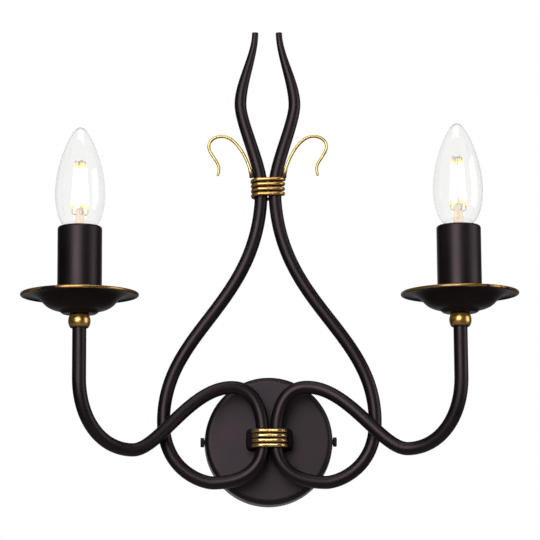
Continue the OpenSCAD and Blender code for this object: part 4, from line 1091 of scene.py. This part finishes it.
# %% [markdown]
# ## Threaded caps and shells
#
# The bulb's cap is thin sheet with a rolled thread, and the shell of the lampholder has the same
# thread pressed into it. A thread is a wave in the radius that climbs one pitch in a turn.
# The depth fades out at both ends, as it does on the real piece.

# %% Threaded caps and shells
THREAD_PITCH = 2.822
CAP_THREAD = 0.55
SHELL_THREAD = 0.22
SHELL_PLAY = 0.25
CAP_R = 6.95
CAP_WALL = 0.3
CAP_H = 25.0
INSULATOR_T = 5.0
SHELL_WALL = 0.4
cap_low = glass_z - CAP_H + INSULATOR_T
cap_high = glass_z - 0.2
shell_low, shell_high = span("holder_shell_left", 2)


def dent(angle):
    """A smooth wave between 0 and -1 that starts at 0: (cos a - 1) / 2."""
    return (np.cos(angle) - 1) / 2


def threaded(low, high, z_start, depth):
    """Radius wave of a rolled thread: the depth times a dent for each turn, faded out."""
    def wave(angle, radius, height):
        turns = (height - z_start) / THREAD_PITCH - angle / (2 * np.pi)
        fade = np.clip(np.minimum(height - low - 1, high - 2 - height) / 1.5, 0, 1)
        return radius + depth * dent(2 * np.pi * turns) * fade, height
    return wave


def tube_profile(outer, wall, low, high, rows):
    """A closed tube profile: up the outside and down the inside."""
    inner = upright(outer - wall, low, high, rows)
    return np.vstack([upright(outer, low, high, rows), inner[::-1]])


def bare_metal(name, light, dark, roughness, brushed=(1, 1, 1)):
    """Bare or plated metal: two tones of tarnish and a brushed roughness."""
    finish = Finish(name)
    cloud = finish.noise(180, 5, stretch=brushed)
    fine = finish.noise(1800, 2, stretch=brushed)
    finish.surface(Base_Color=finish.mix(finish.stretch(cloud, 0.35, 0.7), light, dark),
                   Roughness=finish.stretch(fine, 0.3, 0.7, roughness, roughness + 0.12),
                   Metallic=1.0)
    finish.bump(fine, 0.00001, 0.4)
    return finish


nickel = bare_metal("nickel", linear(214, 208, 198), linear(182, 174, 162), 0.22)
brass = bare_metal("bare_brass", linear(222, 186, 112), linear(184, 146, 78), 0.28)
zinc = bare_metal("zinc", linear(196, 198, 202), linear(158, 160, 166), 0.32, (1, 1, 6))

shell_r = CAP_R + SHELL_PLAY + SHELL_WALL
for name, axis in candle_axis.items():
    low, high = cap_low + RAISE[name], cap_high + RAISE[name]
    cap = revolved(f"threaded_cap_{name}", tube_profile(CAP_R, CAP_WALL, low, high, 90), axis, 96,
                   closed=True, spin=threaded(low, high, low, CAP_THREAD))
    dress(cap, nickel, f"bulb_{name}", f"bulb_cap_{name}")
    foot, head = shell_low + RAISE[name], shell_high + RAISE[name]
    shell = revolved(f"threaded_shell_{name}", tube_profile(shell_r, SHELL_WALL, foot, head, 100),
                     axis, 96, closed=True, spin=threaded(foot + 3, head, low, SHELL_THREAD))
    dress(shell, brass, "lamp", f"holder_shell_{name}")
print("thread:", round((cap_high - cap_low) / THREAD_PITCH, 1), "turns on the cap")

# %% [markdown]
# ## Hub block
#
# The block between the back plate and the tubes is a cast bar with rounded corners. Its front
# edge is rounded too, and two shallow grooves in its face carry the tubes. The face is a stack
# of shrinking rings whose depth follows the grooves.

# %% Hub block
HUB_W = 32.6
HUB_H = 14.8
HUB_CORNER = 3.5
HUB_EDGE = 1.2
HUB_COLUMNS = 192
SIDE_RINGS, FACE_RINGS = 12, 22
FACE_INSETS = (1.6, 7.2)
SADDLE_PLAY = 0.1
SADDLE_R = SCROLL_D / 2 + SADDLE_PLAY
hub_front = tube_reach - SCROLL_D / 2 + 1


def rounded_outline(w, h, corner, count=16):
    """A rounded rectangle, counterclockwise from the right-hand side, as (x, z)."""
    centres = [(w / 2 - corner, h / 2 - corner), (corner - w / 2, h / 2 - corner),
               (corner - w / 2, corner - h / 2), (w / 2 - corner, corner - h / 2)]
    corners = [arc(x, z, corner, 90 * i, 90 * i + 90, count) for i, (x, z) in enumerate(centres)]
    closed = np.vstack([*corners, corners[0][:1]])
    s = lengths_along(closed)
    even = np.linspace(0, s[-1], HUB_COLUMNS, endpoint=False)
    return np.stack([np.interp(even, s, closed[:, 0]), np.interp(even, s, closed[:, 1])], -1)


bend = np.radians(np.linspace(0, 90, 8))[1:]
insets = np.concatenate([np.zeros(SIDE_RINGS), HUB_EDGE * (1 - np.cos(bend)),
                         np.linspace(*FACE_INSETS, FACE_RINGS)])
reaches = np.concatenate([np.linspace(plate_depth, hub_front - HUB_EDGE, SIDE_RINGS),
                          hub_front - HUB_EDGE * (1 - np.sin(bend)),
                          np.full(FACE_RINGS, hub_front)])
rings = []
for inset, reach in zip(insets, reaches):
    loop = rounded_outline(HUB_W - 2 * inset, HUB_H - 2 * inset, max(HUB_CORNER - inset, 0.1))
    from_tube = np.abs(np.abs(loop[:, 0]) - PAIR_X)
    groove = tube_reach - np.sqrt(np.maximum(SADDLE_R ** 2 - from_tube ** 2, 0))
    y = np.where(from_tube < SADDLE_R, np.minimum(reach, groove), reach)
    rings.append(np.stack([loop[:, 0], -y, loop[:, 1]], -1))
grid = np.array(rings)
block = grid_mesh("cast_hub_block", grid, [grid[0].mean(axis=0), grid[-1].mean(axis=0)])
# The block wears the shaded copy of the dark paint: painted shade.
dress(block, shaded_block_paint, "lamp", "hub_block")
print("hub block:", HUB_W, "by", HUB_H, "mm, reaching", round(hub_front, 1), "mm from the wall")

# %% [markdown]
# ## Thumbscrews
#
# A black knurled screw on either side holds the back plate to the strap. The knurl is a wave in
# the radius of the head, twenty ridges round, and the thread is a wave along the shank that
# climbs with the turn. The head has a shallow recess in its end.

# %% Thumbscrews
THUMB_REACH = 8.0
THUMB_HEAD_R = 3.4
THUMB_HEAD_T = 2.7
THUMB_TEETH = 20
THUMB_KNURL = 0.3
THUMB_THREAD_R = 1.95
THUMB_THREAD_PITCH = 0.7
THUMB_THREAD_DEPTH = 0.32
THUMB_SHANK = 9.3
thumb_out = plate_r + 0.1
thumb_in, thumb_end = thumb_out - THUMB_SHANK, thumb_out + THUMB_HEAD_T
thumb_profile = np.vstack([
    [[0, thumb_in], [THUMB_THREAD_R - 0.5, thumb_in]],
    upright(THUMB_THREAD_R, thumb_in + 0.4, thumb_out - 0.05, 110),
    [[THUMB_HEAD_R - 0.35, thumb_out]],
    upright(THUMB_HEAD_R, thumb_out + 0.3, thumb_end - 0.35, 9),
    [[THUMB_HEAD_R - 0.15, thumb_end - 0.12], [THUMB_HEAD_R - 0.5, thumb_end], [2.2, thumb_end],
     [2.0, thumb_end - 0.15], [0, thumb_end - 0.15]]])


def knurl_and_thread(angle, radius, height):
    """Ridges round the head and a climbing wave along the shank, both as changes of radius."""
    on_head = (height > thumb_out + 0.1) & (radius > THUMB_HEAD_R - 0.2)
    ridges = THUMB_KNURL * dent(THUMB_TEETH * angle)
    on_shank = (radius == THUMB_THREAD_R) & (height < thumb_out - 2.2)
    climb = height / THUMB_THREAD_PITCH - angle / (2 * np.pi)
    thread = THUMB_THREAD_DEPTH * dent(2 * np.pi * climb)
    return radius + np.where(on_head, ridges, 0) + np.where(on_shank, thread, 0), height


for name, side in SIDES.items():
    screw = revolved(f"thumbscrew_{name}_turned", thumb_profile, segments=200,
                     spin=knurl_and_thread)
    x, y, z = points_of(screw).T
    laid = np.stack([side * z, -THUMB_REACH + side * y, -x], -1)
    screw.data.vertices.foreach_set("co", (laid * MM).ravel())
    screw.data.update()
    dress(screw, dark_paint, f"thumbscrew_{name}", f"thumbscrew_{name}")
print("thumbscrew head:", 2 * THUMB_HEAD_R, "mm across")

# %% [markdown]
# ## Wires
#
# Two wires run to each candle: from the terminal block, in a sagging bow under it, through the
# hollow stud, into the back of the tube and along it up to the lampholder. The earth lead bows
# between the strap's screw and the stud. They repeat the routes of the packed wires.

# %% Wires
WIRE_D = 1.6
WIRE_SHIFT = WIRE_D / 2 + 0.05
POLE_REACH = 7.625
BLOCK_FOOT = -8.8
STUD_START, STUD_END = 13.0, 29.0
HOLDER_Z = pan_foot_z + PAN_HOLLOW + 4.2
POST_Z = HOLDER_Z + 14.7
TERMINAL_X = 3.9
WIRE_COLUMNS = 12


def moved_aside(line, amount):
    """A route moved sideways in the plane that it bends in."""
    along, sides = carried(line, [0, 1, 0])
    return line + np.cross(along, sides) * amount


def wire_route(*stations):
    """The line along stations [point, heading, handle in, handle out]."""
    return route([[*station, WIRE_D / 2] for station in stations])[0]


def wire_line(side, core, pole, layer, sag, bend):
    """The route of one core, from its pole of the block to its post in the lampholder.

    core is -1 or 1 and says on which side of the pair it runs. It sags under the block in its
    own layer, so that no two of the four cores touch.
    """
    reach, layer = POLE_REACH + side * WIRE_SHIFT, layer + side * WIRE_SHIFT
    early = 1 if core * side < 0 else 0
    stud_x = side * 2 * WIRE_SHIFT - core * WIRE_SHIFT
    tube_x = side * PAIR_X - core * WIRE_SHIFT
    in_tube = moved_aside(route(scroll_stations(side)[6:])[0], core * WIRE_SHIFT)
    top, post_x = in_tube[-1], side * candle_x - core * TERMINAL_X
    post_z = POST_Z + (RAISE["right"] if side > 0 else RAISE["left"])
    first = wire_route(
        [[pole, -reach, BLOCK_FOOT], DOWN, 0, 4],
        [[(pole + stud_x) / 2, -layer, BLOCK_FOOT - sag - 1.6 * side], [1, 0, 0], bend, bend],
        [[stud_x, -layer, BLOCK_FOOT + 1], UP, 4, 4],
        [[stud_x, -STUD_START, 0], FORWARD, 3.5, 3],
        [[stud_x, early - STUD_END, 0], FORWARD, 3, 2.4],
        [[tube_x, early - hub_front + 2, 0], FORWARD, 2.4, 3],
        [in_tube[0], UP, 4, 0])
    end = wire_route(
        [top, UP, 0, 6],
        [[top[0], top[1], HOLDER_Z + RAISE["right"] + 5], UP, 6, 2],
        [[post_x, candle_y, post_z - 1.2], UP, 3, 1],
        [[post_x, candle_y, post_z + 2.7], UP, 1, 0])
    return np.vstack([first[:-1], in_tube[:-1], end])


def insulation(name, colour, stripe=None):
    """Smooth plastic insulation with a faint cloud, and a stripe round it if one is given."""
    finish = Finish(name)
    cloud = finish.stretch(finish.noise(400, 3), 0.3, 0.7)
    dark = tuple(0.75 * c for c in colour[:3]) + (1,)
    tone = finish.mix(cloud, dark, colour)
    if stripe is not None:
        tone = finish.mix(finish.stretch(finish.attribute("stripe"), 0.45, 0.55), tone, stripe)
    finish.surface(Base_Color=tone, Roughness=finish.stretch(cloud, 0, 1, 0.35, 0.5))
    return finish


# The side of its pair that a core runs on, the x of its pole, its layer, its sag and its bend.
CORES = {"blue": (-1, -22.1, 4.6, 9.6, 5), "brown": (1, -12.9, 8.2, 4.9, 3.4)}
core_skins = {"blue": insulation("wire_skin_blue", linear(46, 78, 148)),
              "brown": insulation("wire_skin_brown", linear(108, 62, 38))}
for name, side in SIDES.items():
    for colour, place in CORES.items():
        wire = swept(f"wire_{name}_{colour}", wire_line(side, *place), WIRE_D / 2, [1, 0, 0],
                     WIRE_COLUMNS)
        dress(wire, core_skins[colour], "lamp", f"arm_wires_{name}")

earth_skin = insulation("earth_skin", linear(70, 150, 62), linear(226, 206, 60))
EARTH_FOOT = np.array([16.0, -3.45, 4.9])
EARTH_HEAD = np.array([0, -16.35, 9.1])
EARTH_GRIP = UP * 2.3
EARTH_COLUMNS = 16
line = wire_route([EARTH_FOOT, UP, 0, 1], [EARTH_FOOT + EARTH_GRIP, UP, 1, 9],
                  [EARTH_HEAD + EARTH_GRIP, DOWN, 9, 1], [EARTH_HEAD, DOWN, 1, 0])
lead = swept("earth_lead_striped", line, WIRE_D / 2, [0, 1, 0], EARTH_COLUMNS, round_ends=0.2)
around = np.arange(len(lead.data.vertices)) % EARTH_COLUMNS / EARTH_COLUMNS
store(lead, "stripe", np.abs(around - 0.5) * 2 > 0.65)
dress(lead, earth_skin, "lamp", "earth_lead")
print("wires:", 2 * len(CORES), "cores and one earth lead")

# %% [markdown]
# ## Packed pieces that keep their shape
#
# The strap, nuts, screws, terminals, lampholders and the back plate are already right as packed,
# so they only need a finish. Zinc plate for what was stamped or turned from steel, bare brass for
# what carries current, and matt white moulding for what insulates it. The foot of a bulb is black
# glass with a nickel contact.

# %% Packed pieces
moulding = Finish("white_moulding")
flow = moulding.noise(120, 4)
pores = moulding.noise(1600, 2)
moulding.surface(Base_Color=moulding.mix(flow, linear(226, 224, 214), linear(240, 239, 232)),
                 Roughness=moulding.stretch(pores, 0.3, 0.7, 0.45, 0.6))
moulding.bump(pores, 0.00002, 0.4)
black_glass = Finish("black_glass")
swirl = black_glass.noise(500, 4)
black_glass.surface(Base_Color=black_glass.mix(swirl, linear(18, 18, 22), linear(44, 44, 52)),
                    Roughness=black_glass.stretch(swirl, 0.3, 0.7, 0.08, 0.2))

KEPT = {
    plate_paint: ["canopy"],
    zinc: ["wall_strap", "earth_screw", "earth_tags", "terminal_screws", "block_screw",
           "hub_stud", "hub_washer", "hub_nut"],
    brass: ["terminal_barrels"], moulding: ["terminal_block"], black_glass: [], nickel: []}
for name in SIDES:
    KEPT[zinc] += [f"nipple_{name}", f"pan_nut_{name}"]
    KEPT[brass] += [f"holder_contact_{name}", f"holder_terminals_{name}"]
    KEPT[moulding] += [f"lampholder_{name}"]
    KEPT[black_glass] += [f"bulb_insulator_{name}"]
    KEPT[nickel] += [f"bulb_contact_{name}"]
for finish, nodes in KEPT.items():
    for node in nodes:
        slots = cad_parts[node].data.materials
        slots.clear()
        slots.append(finish.material)
print("kept pieces:", sum(len(nodes) for nodes in KEPT.values()))

# %% [markdown]
# ## Floor
#
# The lamp hangs in the air as it does in the photograph, with nothing behind it. A pale floor
# lies so far below that a look from underneath still clears it. The softboxes hardly reach it,
# so the floor is given its paleness where the camera or the glass looks at it, as the world is.

# %% Floor
FLOOR_Z = -2200.0
FLOOR_HALF = 6000.0
FLOOR_GLOW = 0.92
FLOOR_IN_GLOSS = 0.1
corners = np.array([(-1, -1), (1, -1), (1, 1), (-1, 1)]) * FLOOR_HALF
floor = mesh_from("floor", np.insert(corners, 2, FLOOR_Z, axis=1), [(0, 1, 2, 3)])
pale = Finish("pale_floor")
pale.surface(Base_Color=pale.mix(pale.noise(3, 2), linear(236, 235, 232), linear(242, 241, 239)),
             Roughness=0.9, Emission_Color=(1, 1, 1, 1),
             Emission_Strength=pale.maths("MULTIPLY", pale.shown(FLOOR_IN_GLOSS), FLOOR_GLOW))
floor.data.materials.append(pale.material)
print("floor:", FLOOR_Z * MM, "m under the hub")

# %% [markdown]
